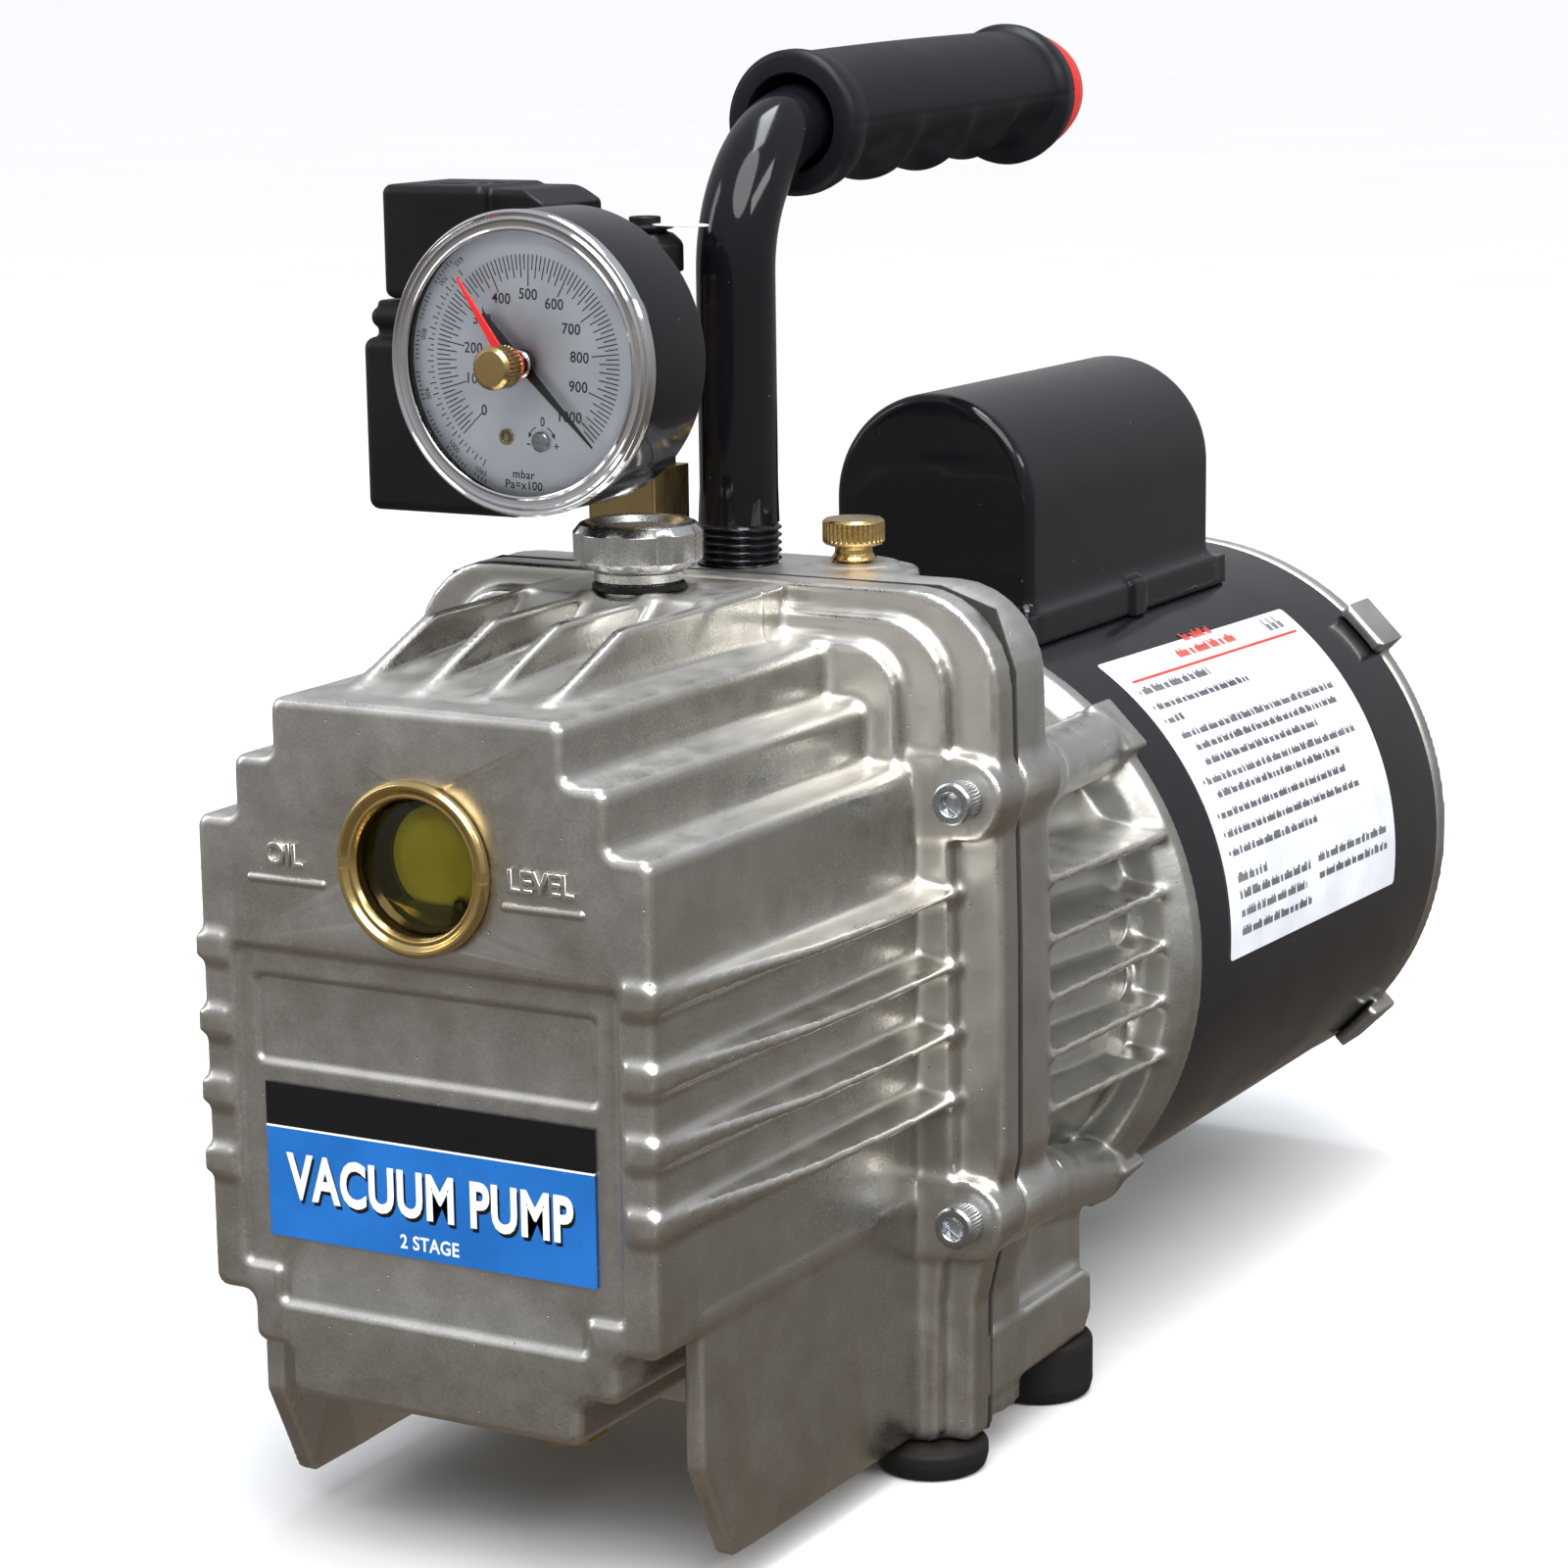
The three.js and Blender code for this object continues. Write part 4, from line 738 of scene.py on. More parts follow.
def gloss_paint(name, colour, roughness=0.1):
    """Smooth enamel with a faint orange peel and a little dust."""
    f = Finish(name, colour, roughness, 0.0, Coat_Weight=0.2, Coat_Roughness=0.05, Specular_IOR_Level=0.22)
    dust = f.spots(7, 0.04)
    f.colour(f.mix(dust, colour, (0.12, 0.12, 0.13)))
    f.rough(f.span(f.noise(18, 3), 0.35, 0.65, roughness * 0.7, roughness * 1.8))
    f.bump((f.noise(2.5, 2), 0.012))
    return f


def clear(name, tint, roughness=0.02):
    """A clear pane: what is behind it shows through, with a glossy surface over it."""
    f = Finish(name, tint, roughness)
    nodes, links = f.tree.nodes, f.tree.links
    nodes.remove(f.shader)
    through, gloss = nodes.new("ShaderNodeBsdfTransparent"), nodes.new("ShaderNodeBsdfGlossy")
    fresnel, both = nodes.new("ShaderNodeFresnel"), nodes.new("ShaderNodeMixShader")
    through.inputs["Color"].default_value = (*tint, 1)
    gloss.inputs["Roughness"].default_value = roughness
    fresnel.inputs["IOR"].default_value = 1.49
    for source, target in ((fresnel.outputs[0], both.inputs[0]), (through.outputs[0], both.inputs[1]),
                           (gloss.outputs[0], both.inputs[2])):
        links.new(source, target)
    links.new(both.outputs[0], nodes["Material Output"].inputs["Surface"])
    return f


ALLOY = (0.64, 0.62, 0.58)
CAST = cast_metal("cast_aluminium", ALLOY, 0.42, 0.27)
CAST_ADAPTER = cast_metal("cast_aluminium_adapter", (0.66, 0.65, 0.62), 0.40, 0.32)
CAST_RING = cast_metal("blasted_aluminium", (0.50, 0.49, 0.46), 0.50, 0.46, 0.03)
LETTER = metal("cast_lettering", shade(ALLOY, 1.2), 0.32)
BRASS = metal("brass", (0.66, 0.47, 0.20), 0.24)
BRASS_BLOCK = metal("brass_bar", (0.50, 0.36, 0.17), 0.30, 0.006, 0.4, (1, 1, 0.04))
BRASS_BEZEL = metal("brass_turned", (0.78, 0.58, 0.24), 0.20, 0.003)
ZINC = metal("zinc_steel", (0.60, 0.63, 0.66), 0.24)
STEEL = metal("bare_steel", (0.50, 0.50, 0.51), 0.30)
CHROME = metal("polished_rim", (0.80, 0.81, 0.84), 0.07, 0.001)
CAP_METAL = metal("machined_aluminium", (0.66, 0.66, 0.65), 0.25, 0.004)
PAINT = gloss_paint("gloss_black_paint", (0.006, 0.006, 0.008))
SHELL_PAINT = gloss_paint("motor_enamel", (0.007, 0.007, 0.009), 0.14)
GRIP = moulded("grip_rubber", (0.006, 0.007, 0.010), 0.44, 0.02, 0.5, Specular_IOR_Level=0.25)
RUBBER = moulded("foot_rubber", (0.011, 0.009, 0.008), 0.62, 0.03, 0.6, Specular_IOR_Level=0.25)
SEAL = moulded("seal_rubber", (0.006, 0.006, 0.006), 0.42, Specular_IOR_Level=0.25)
GASKET = moulded("gasket_fibre", (0.035, 0.032, 0.028), 0.8, 0.03)
PLASTIC = moulded("black_plastic", (0.006, 0.006, 0.007), 0.40, 0.012, 0.4, Specular_IOR_Level=0.25)
RED = moulded("red_plastic", (0.62, 0.012, 0.008), 0.32, 0.006)
WHITE_TAB = moulded("white_tab", (0.72, 0.72, 0.74), 0.35, 0.004)
DIAL = moulded("dial_white", (0.80, 0.83, 0.90), 0.42, 0.002)
DIAL_INK = moulded("dial_ink", (0.02, 0.02, 0.025), 0.5, 0.002)
POINTER_RED = moulded("pointer_red", (0.70, 0.008, 0.012), 0.35, 0.002)
POINTER_BLACK = moulded("pointer_black", (0.010, 0.010, 0.010), 0.35, 0.002)
WINDOW = clear("gauge_window_clear", (0.97, 0.98, 0.99))
LENS = clear("sight_glass_clear", (0.90, 0.88, 0.55), 0.03)
OIL = moulded("oil_reflector", (0.44, 0.42, 0.12), 0.16, 0.004, 1.5, Coat_Weight=0.5)
# Near black: the oil's own colour, and painted shade on the wall of the sight glass cup.
OIL_AND_WALL_SHADE = moulded("dark_oil_and_painted_shade", (0.022, 0.024, 0.008), 0.12, 0.004, 1.5, Coat_Weight=1.0)
CAPACITOR = metal("capacitor_can", (0.58, 0.59, 0.60), 0.3)
COPPER = metal("winding_copper", (0.45, 0.19, 0.08), 0.4)
CARBON = moulded("vane_carbon", (0.03, 0.027, 0.024), 0.5)
PAPER = moulded("label_paper", (0.66, 0.68, 0.72), 0.34, 0.003, 0.3)
INK_GREY = moulded("label_ink_grey", (0.10, 0.10, 0.11), 0.5, 0.002)
INK_RED = moulded("label_ink_red", (0.55, 0.05, 0.03), 0.5, 0.002)
LABEL_BLUE = moulded("label_blue", (0.002, 0.115, 0.41), 0.26, 0.002, 0.3)
LABEL_BLACK = moulded("label_black", (0.004, 0.004, 0.005), 0.24, 0.002, 0.3)
LABEL_WHITE = moulded("label_white", (0.86, 0.87, 0.88), 0.3, 0.002, 0.3)
SEALANT = moulded("thread_sealant", (0.16, 0.010, 0.012), 0.45, 0.05, 0.8)


def listed(one_or_more):
    return one_or_more if isinstance(one_or_more, list) else [one_or_more]


def piece(name, mesh, finish, nodes, body=BODY, angle=35):
    """Makes a mesh into a piece that rides on a body and stands for CAD nodes."""
    obj = linked(name, mesh)
    for f in listed(finish):
        mesh.materials.append(f.material)
    mesh.shade_smooth()
    if angle < 180:
        mesh.set_sharp_from_angle(angle=math.radians(angle))
    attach(obj, body)
    if nodes:
        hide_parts(*listed(nodes))
    return obj


def dress(node, finish, bevel=0.25):
    """A CAD node that stays: its seams are welded, its edges rounded, and it takes a finish."""
    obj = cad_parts[node]
    obj.data.materials.clear()
    obj.data.materials.append(finish.material)
    weld = obj.modifiers.new("weld", "WELD")
    weld.merge_threshold = 1e-5
    if bevel:
        soft = obj.modifiers.new("edges", "BEVEL")
        soft.width, soft.segments, soft.limit_method = bevel * MM, 2, "ANGLE"
        soft.angle_limit, soft.harden_normals = math.radians(40), True


def lettering(text, size, x, z, depth, thick=0.05, turn=0.0, stretch=1.0, bevel=0.0, weight=0.0, tall=1.0):
    """Text that faces the front, centred on (x, z) and standing thick millimetres proud of a depth."""
    curve = bpy.data.curves.new("text", "FONT")
    curve.body, curve.size, curve.align_x, curve.align_y = text, size, "CENTER", "CENTER"
    curve.extrude, curve.resolution_u, curve.offset = thick / 2, 4, weight
    curve.bevel_depth, curve.bevel_resolution = bevel, 1
    if weight:
        curve.space_character = 1.06
    mesh = applied(linked("text", curve))
    place = Matrix.Translation((x, depth - thick / 2 + FACE, z)) @ Matrix.Rotation(turn, 4, "Y") \
        @ Matrix.Rotation(math.pi / 2, 4, "X") @ Matrix.Diagonal((stretch, tall, 1, 1))
    mesh.transform(Matrix.Scale(MM, 4) @ place)
    mesh.materials.clear()
    return mesh


# ---- camera --------------------------------------------------------------------------------------

CAMERA_PLACE = (0.4581, -0.8615, 0.3369)            # metres
CAMERA_TURN = (29.354, 11.474, -0.764)              # yaw, pitch and roll, in degrees
CAMERA_LENS, CAMERA_SENSOR, CAMERA_FAR = 91.9, 36, 2000


def add_camera():
    yaw, pitch, roll = (math.radians(a) for a in CAMERA_TURN)
    back = Vector((math.sin(yaw) * math.cos(pitch), -math.cos(yaw) * math.cos(pitch), math.sin(pitch)))
    level = Vector((math.cos(yaw), math.sin(yaw), 0))
    rise = back.cross(level)
    right = math.cos(roll) * level + math.sin(roll) * rise
    up = math.cos(roll) * rise - math.sin(roll) * level
    data = bpy.data.cameras.new("camera")
    data.lens, data.sensor_width, data.clip_end = CAMERA_LENS, CAMERA_SENSOR, CAMERA_FAR
    camera = linked("camera", data)
    camera.matrix_world = Matrix.Translation(CAMERA_PLACE) @ Matrix((right, up, back)).transposed().to_4x4()
    bpy.context.scene.camera = camera


add_camera()


# ---- castings ------------------------------------------------------------------------------------

STEP = 0.8

piece("oil_case_casting", oil_case_mesh(STEP), CAST, "oil_case", angle=180)
adapter = piece("motor_adapter_casting", adapter_mesh(STEP), [CAST_ADAPTER, CAST_RING], "motor_adapter",
                angle=180)
for face in adapter.data.polygons:
    face.material_index = int(face.center.y / MM - FACE > RING_FRONT - 0.6)


def cast_mark():
    """Raised words and bars beside the sight glass."""
    word_z, bar_z, bar_half, bar_r = 157.5, 152.0, 10.7, 1.2
    made = []
    for word, x in (("OIL", -32.8), ("LEVEL", 30.6)):
        made.append(lettering(word, 6.6, x, word_z, 0.15, 0.9, bevel=0.28, stretch=0.93))
        profile = [(0, x - bar_half), (bar_r, x - 9.6), (bar_r, x + 9.6), (0, x + bar_half)]
        made.append(turned("bar", profile, (0, 0.5, bar_z), "x", 20, 1.1))
    return merged(made, "cast_marks")


piece("cast_marks", cast_mark(), LETTER, [], angle=50)
dress("case_gasket", GASKET, 0)


SHELL_BACK = span("motor_shell")[1][1] + 0.3
SWITCH_Z = 70


def end_bell_mesh(step):
    low, high = span("rear_end_bell")
    back = high[1]
    c = Casting(low - [4, 4, 4], high + [4, 4, 4], step)
    whole = (low - [4, 4, 4], high + [4, 4, 4])

    def dish(x, y, z):
        r = around_axis(x, z)
        crown = back - 1.2 * (r / 60) ** 2 - np.clip((r - 66) / 11, 0, 1.15) ** 2 * 5.5
        return np.maximum(pushed(r - MOTOR_R + 0.6, y, SHELL_BACK, back, 2), (y - crown) * 0.9)
    c.join(*whole, dish, 0)
    c.join(*whole, lambda x, y, z: lugs(x, y, z, SHELL_BACK - 5, back - 4.2), 1.6)
    c.join(*whole, bar((0, AXIS_Z), 21, "y", back - 6, back, 0.9), 1.6)
    c.cut(*whole, pipe((0, AXIS_Z), 46.5, 25.5, "y", back - 40, back - 5.5, 2), 0.8)
    c.cut(*whole, bar((0, AXIS_Z), 16.3, "y", back - 40, back - 5), 0.4)
    c.cut(*whole, pipe((0, AXIS_Z), 69.7, 9.7, "y", SHELL_BACK - 8, SHELL_BACK), 0.3)
    vents, vent_ring, vent_r = 10, 50, 4.8
    for i in range(vents):
        a = 2 * math.pi * (i + 0.5) / vents
        if math.sin(a) > -0.1:
            vent_x, vent_z = vent_ring * math.cos(a), AXIS_Z + vent_ring * math.sin(a)
            c.cut((vent_x - 7, back - 10, vent_z - 7), (vent_x + 7, back + 3, vent_z + 7),
                  lambda x, y, z: np.hypot(x - vent_x, z - vent_z) - vent_r + 0 * y, 1.0)
    switch_low, switch_high = span("rocker_switch")
    switch_x = (switch_low[0] + switch_high[0]) / 2
    c.cut((switch_low[0] - 4, back - 14, switch_low[2] - 6),
          (switch_high[0] + 4, back + 3, switch_high[2] + 6),
          lambda x, y, z: np.maximum(np.abs(x - switch_x) - 6.5, np.abs(z - SWITCH_Z) - 10.5) + 0 * y, 0.3)
    gland = middle("cord_gland")
    c.cut((gland[0] - 10, back - 14, gland[2] - 10), (gland[0] + 10, back + 3, gland[2] + 10),
          lambda x, y, z: np.hypot(x - gland[0], z - gland[2]) - 7.3 + 0 * y, 0.3)
    return c.mesh("rear_end_bell_casting", 0.3)


piece("rear_end_bell_casting", end_bell_mesh(STEP), CAST_RING, "rear_end_bell", angle=180)


# ---- screws, feet and caps -----------------------------------------------------------------------


def socket_screw(node, x, z):
    """A knurled cap screw with a six-sided socket."""
    top = span(node)[0][1]
    end = span(node)[1][1]

    def shape(angle, r, h):
        flat = r / np.cos((angle + math.pi / 6) % (math.pi / 3) - math.pi / 6)
        r = np.where((r > 2.3) & (r < 2.75) & (h < top + 4), flat, r)
        knurled = (r > 4.6) & (h > top + 0.9) & (h < top + 5.7)
        return np.where(knurled, r - 0.16 * (1 + np.cos(angle * 36)) / 2, r)
    profile = [(0, top + 3.9), (2.5, top + 3.3), (2.5, top + 0.35), (2.9, top), (4.3, top), (4.8, top + 0.6),
               (4.8, top + 1), (4.8, top + 3), (4.8, top + 5.6), (4.8, top + 5.9), (3.1, top + 5.9),
               (3.1, end), (0, end)]
    return turned(node, profile, (x, 0, z), "y", 144, 0.22, shape)


for place, side, at in SCREW_PLACES:
    node = "case_screw_" + place
    piece(node + "_fine", socket_screw(node, side * SCREW_X, at), ZINC, node, angle=30)

for node in ("front_foot_right", "front_foot_left", "back_foot_right", "back_foot_left", "motor_foot"):
    low, high = span(node)
    r = (high[0] - low[0]) / 2
    taper = 2.2 if node == "motor_foot" else 0.8
    profile = [(0, low[2]), (r - taper, low[2]), (r, low[2] + 3.2), (r, high[2]), (0, high[2])]
    piece(node + "_rubber", turned(node, profile, middle(node), "z", 72, 1.8), RUBBER, node)


def scallops(count, away, cutter):
    """The radius of a circle with round bites taken out of it."""
    def reach(angle):
        off = (angle + math.pi / count) % (2 * math.pi / count) - math.pi / count
        side = np.clip(cutter ** 2 - (away * np.sin(off)) ** 2, 0, None)
        return np.where(np.abs(away * np.sin(off)) < cutter, away * np.cos(off) - np.sqrt(side), 1e3)
    return reach


def oil_cap_mesh():
    low, high = span("oil_fill_cap")
    z, top, r, neck = high[2] - 14, high[2], (high[0] - low[0]) / 2, 9.9
    cutter = 4.2
    bite = scallops(8, r + cutter - 0.9, cutter)
    first_bite = math.radians(10.6)

    def shape(angle, radius, h):
        grip = (h > z + 3.4) & (radius > neck + 0.8)
        smooth = np.clip((h - z - 3.4) / 0.6, 0, 1)
        cut_back = np.minimum(radius, bite(angle - first_bite))
        return np.where(grip, radius + (cut_back - radius) * smooth, radius)
    profile = [(0, low[2]), (8.6, low[2]), (9.4, low[2] + 1), (9.4, z + 0.6), (neck - 0.3, z + 0.6, 0.2),
               (neck, z + 1, 0.3), (neck, z + 2.8, 0.2), (neck + 0.7, z + 3.4, 0.3), (r - 1.6, z + 4.1, 0.4),
               (r - 0.1, z + 5.6, 0.5), (r, top - 2.3, 0.3), (r - 1.5, top - 0.5, 0.4), (r - 2.8, top, 0.4),
               (r - 3.8, top - 0.3, 0.3), (r - 5.6, top - 1.7, 0.6), (0, top - 1.9)]
    return turned("oil_cap", profile, OIL_CAP, "z", 256, 0.9, shape)


piece("oil_fill_cap_fine", oil_cap_mesh(), CAP_METAL, "oil_fill_cap", "oil_cap", 38)
dress("oil_cap_seal", SEAL, 0.3)


def knurled(name, profile, centre, axis, r, ridges, low, high, depth):
    def shape(angle, radius, h):
        wave = np.abs(np.sin(angle * ridges / 2))
        on = (radius > r - 0.15) & (h > low) & (h < high)
        return np.where(on, radius - depth * (1 - wave) ** 1.5, radius)
    return turned(name, profile, centre, axis, ridges * 8, 0.3, shape)


def ballast_knob_mesh():
    z = PLATE_Z + 1
    profile = [(0, z - 9), (4, z - 9), (4, z + 0.3), (5.6, z + 0.3), (4.5, z + 1.8), (4.3, z + 3.2),
               (6.7, z + 4.0), (7.2, z + 4.6), (7.2, z + 5), (7.2, z + 7), (7.2, z + 8.9), (7.2, z + 9.2),
               (6.6, z + 9.8), (0, z + 9.8)]
    return knurled("ballast", profile, BALLAST, "z", 7.2, 34, z + 4.8, z + 9.1, 0.45)


piece("ballast_knob_fine", ballast_knob_mesh(), BRASS, "ballast_knob", "ballast_knob", 32)


def six_sided(angle, r):
    """The radius at an angle of a six-sided bar whose corners are at radius r."""
    return r * math.cos(math.pi / 6) / np.cos((angle + math.pi / 6) % (math.pi / 3) - math.pi / 6)


def drain_mesh():
    low, high = (corner[2] for corner in span("drain_plug"))

    def shape(angle, r, h):
        return np.where((r > 6) & (h < low + 3.9), six_sided(angle, r), r)
    profile = [(0, low), (6.6, low), (8, low + 0.7), (8, low + 3.6), (7.6, low + 4.1), (5.9, low + 4.1),
               (5.9, high), (0, high)]
    return turned("drain", profile, DRAIN, "z", 96, 0.3, shape)


piece("drain_plug_fine", drain_mesh(), BRASS, "drain_plug", angle=30)


# ---- sight glass and front label -----------------------------------------------------------------


def bezel_mesh():
    """The brass ring round the sight glass, with a slot at each side for its key."""
    r, glass = 18.5, 14.4
    profile = [(glass, 7), (glass, -0.5), (glass + 0.7, -1.7), (glass + 1.6, -1.5), (r - 1.6, -2.5),
               (r - 0.7, -2.6), (r, -1.8), (r, -0.3), (14.9, -0.3), (14.9, 7), (glass, 7)]
    ring = turned("bezel", profile, SIGHT, "y", 128, 0.45)
    slots = [slab("slot", rectangle(x0, x1, SIGHT[2] - 1.25, SIGHT[2] + 1.25), -5, -1.35, "y", 0)
             for x0, x1 in ((-r - 3, -glass - 0.9), (glass + 0.9, r + 3))]
    return carved(ring, *slots)


piece("sight_glass_bezel_fine", bezel_mesh(), BRASS_BEZEL, "sight_glass_bezel", angle=30)
PANE = turned("pane", [(0, 1.3), (9, 1.4), (14.1, 2.0), (14.1, 3.2), (0, 3.2)], SIGHT, "y", 96, 0.3)
piece("sight_glass_pane", PANE, LENS, "sight_glass_lens")


def oil_cup():
    """The olive reflector behind the glass, its wall painted near black as painted shade, and the oil with
    its curved rim.
    """
    # The wall takes the near-black finish as painted shade inside the recess. The plate is set off centre, so
    # this painted shade shows as a dark crescent on the left.
    wall = turned("wall", [(14.2, 3.4), (14.2, 8.6), (13.2, 10.2), (0, 10.6)], SIGHT, "y", 96, 0.5)
    disc = [(0, 5.4), (8.5, 5.2), (11.6, 6.6), (11.6, 8.4), (0, 8.4)]
    plate = turned("plate", disc, SIGHT + np.array([1.4, 0, 0.9]), "y", 96, 0.8)
    oil_line = [(13.9 * math.sin(a), SIGHT[2] - 13.9 * math.cos(a)) for a in np.linspace(-0.93, 0.93, 40)]
    top = [(x, SIGHT[2] - 8.6 + 0.0065 * x * x) for x in np.linspace(10.6, -10.6, 16)]
    oil = slab("oil", np.array(oil_line + top), 4.4, 7.0, "y", 0.3)
    drop = [(0, 3.4), (1.5, 4.2), (1.7, 5.2), (0, 6)]
    bubble = turned("bubble", drop, (7.4, 0, SIGHT[2] - 8.2), "y", 32, 1)
    return merged([paint(wall, 1), paint(plate, 0), paint(oil, 1), paint(bubble, 1)], "oil_cup")


piece("sight_glass_oil", oil_cup(), [OIL, OIL_AND_WALL_SHADE], [], angle=40)


def front_label_mesh():
    """A blue label with a black band above it and a plain title with a drop shadow."""
    low, high = span("front_label")
    x0, x1, z0, z1 = low[0], high[0], low[2], high[2]
    face, back = low[1], high[1]
    split, line = z1 - 9.4, 0.45
    parts = [paint(slab("blue", rectangle(x0, x1, z0, split - line), face, back, "y", 0.08, 1), 0),
             paint(slab("line", rectangle(x0, x1, split - line, split), face, back, "y", 0), 2),
             paint(slab("black", rectangle(x0, x1, split, z1), face, back, "y", 0.08, 1), 1)]
    title = (z0 + split) / 2 + 1.0
    for ink, x, drop, lift, thick in ((1, 0.5, 0.8, 0.01, 0.04), (2, 0, 0, 0.03, 0.06)):
        words = lettering("VACUUM PUMP", 11.4, x, title - drop, face - lift, thick, stretch=0.86, weight=0.34,
                          tall=1.2)
        parts.append(paint(words, ink))
    words = lettering("2 STAGE", 4.2, 0, z0 + 3.2, face - 0.01, 0.04, stretch=0.9, weight=0.08)
    return merged([*parts, paint(words, 2)], "front_label")


piece("front_label_print", front_label_mesh(), [LABEL_BLUE, LABEL_BLACK, LABEL_WHITE], "front_label")


# ---- handle --------------------------------------------------------------------------------------

BEND, HANDLE_Z, RISE = 33, 302.5, math.radians(1.5)
TUBE_R, TUBE_WALL = 9.1, 1.8
GRIP_FRONT, GRIP_BACK, GRIP_R = 161, 290, 16.3
GROOVES = (181, 210.5, 237, 261.5)
THREAD_LOW, THREAD_HIGH, THREAD_PITCH = PLATE_Z + 0.4, PLATE_Z + 9.6, 1.8


def risen(mesh):
    """Leans a mesh that was made level by the handle's small rise towards its back."""
    pivot = Vector((0, FACE + HANDLE_DEPTH + BEND, HANDLE_Z)) * MM
    mesh.transform(Matrix.Translation(pivot) @ Matrix.Rotation(RISE, 4, "X") @ Matrix.Translation(-pivot))
    return mesh


def handle_tube_mesh(around=56):
    """The hollow pipe: up, round the bend and back, with a pipe thread where it enters the casting."""
    stations = [(h, 0.0) for h in np.arange(192.6, THREAD_LOW, 2.0)]
    stations += [(h, 0.0) for h in np.arange(THREAD_LOW, THREAD_HIGH, 0.18)]
    stations += [(h, 0.0) for h in np.linspace(THREAD_HIGH, HANDLE_Z - BEND, 8)]
    centres, turns, lengths = [], [], []
    for h, turn in stations:
        centres.append((HANDLE_DEPTH, h))
        turns.append(turn)
        lengths.append(h)
    for turn in np.linspace(0, math.pi / 2 - RISE, 22)[1:]:
        centres.append((HANDLE_DEPTH + BEND * (1 - math.cos(turn)), HANDLE_Z - BEND * (1 - math.sin(turn))))
        turns.append(turn)
        lengths.append(HANDLE_Z)
    last = centres[-1]
    for along in (60, 116):
        centres.append((last[0] + along * math.cos(RISE), last[1] + along * math.sin(RISE)))
        turns.append(turns[-1])
        lengths.append(HANDLE_Z)
    angles = ring_angles(around)
    rings = []
    for wall in (0, TUBE_WALL):
        order = range(len(centres)) if wall == 0 else range(len(centres) - 1, -1, -1)
        for i in order:
            (depth, h), turn = centres[i], turns[i]
            r = np.full(around, TUBE_R - wall)
            if wall == 0 and THREAD_LOW <= lengths[i] <= THREAD_HIGH:
                phase = (lengths[i] / THREAD_PITCH + angles / (2 * math.pi)) % 1
                r = TUBE_R + 0.75 - 1.1 * np.abs(2 * phase - 1) ** 1.4
            ring = np.zeros((around, 3))
            ring[:, 0] = r * np.cos(angles)
            ring[:, 1] = depth + r * np.sin(angles) * math.cos(turn)
            ring[:, 2] = h - r * np.sin(angles) * math.sin(turn)
            rings.append(ring)
    return mesh_of("handle_tube", np.concatenate(rings), ring_faces(len(rings), around))


piece("handle_tube_pipe", handle_tube_mesh(), PAINT, "handle_tube", angle=40)


def seam(angle):
    """The depth of the moulding line along each side of the grip."""
    return 0.28 * (1 - np.minimum(np.abs(np.sin(angle)) / 0.045, 1))


def grip_radius(angle, depth):
    """The grip's radius at an angle from +x and a depth: smooth above, four finger grooves below."""
    below = np.clip((-np.sin(angle) + 0.1) / 0.75, 0, 1)
    below = below * below * (3 - 2 * below)
    bulge = 0.35 * np.sin(np.clip((depth - GRIP_FRONT - 6) / (GRIP_BACK - GRIP_FRONT - 26), 0, 1) * math.pi)
    r = GRIP_R - 0.2 + bulge
    groove = np.zeros_like(depth)
    for at in GROOVES:
        off = np.abs(depth - at) / 13.4
        groove = np.maximum(groove, np.where(off < 1, 1 - off ** 2.2, 0))
    inside = (depth > GRIP_FRONT + 8) & (depth < GROOVES[-1] + 12.2)
    r = r - np.where(inside, below * (0.75 + 3.9 * groove), 0)
    return r - seam(angle) * (depth > GRIP_FRONT + 1)


def grip_mesh(around=144):
    front, back = GRIP_FRONT, GRIP_BACK
    bore = TUBE_R + 0.3
    rows = [(bore, front + 12), (bore + 1.7, front + 9), (bore + 1.8, front + 1.2), (bore + 2.3, front),
            (15.2, front), (16.3, front + 0.4), (16.9, front + 1.6), (16.95, front + 4.2),
            (16.7, front + 6.2), (16.35, front + 8)]
    rows += [(None, depth) for depth in np.arange(front + 8.6, back - 17.4, 1.15)]
    rows += [(17.0, back - 17), (17.6, back - 16.3), (17.8, back - 15.2), (17.7, back - 13.6),
             (17.0, back - 10.5), (16.2, back - 8), (15.5, back - 6.3), (14.9, back - 6), (bore, back - 6)]
    angles = ring_angles(around)
    points = np.zeros((len(rows), around, 3))
    for i, (r, depth) in enumerate(rows):
        if r is None:
            r = grip_radius(angles, np.full(around, depth, float))
        elif depth > front + 1 and r > 14:
            r = r - seam(angles)
        points[i, :, 0] = r * np.cos(angles)
        points[i, :, 1] = depth
        points[i, :, 2] = HANDLE_Z + r * np.sin(angles)
    return risen(mesh_of("grip", points.reshape(-1, 3), ring_faces(len(rows), around)))


piece("handle_grip_rubber", grip_mesh(), GRIP, "handle_grip", angle=50)


def exhaust_cap_mesh():
    """The cap's plug, and its skirt over the end of the grip."""
    end, plug_r, skirt_r = GRIP_BACK, 6.9, 10.2
    profile = [(0, end - 4.5), (plug_r, end - 4.5), (plug_r, end + 0.3), (skirt_r, end + 0.3),
               (skirt_r, end - 5.7), (15.2, end - 5.7, 0.3), (14.9, end - 2, 2), (13.2, end + 3.5, 3),
               (9, end + 7.4, 4), (0, end + 8.4)]
    return risen(turned("cap", profile, (0, 0, HANDLE_Z), "y", 72, 0.5))


piece("exhaust_cap_round", exhaust_cap_mesh(), RED, "exhaust_cap", "exhaust_cap", 40)


# ---- inlet group ---------------------------------------------------------------------------------

NIPPLE = middle("inlet_nipple")


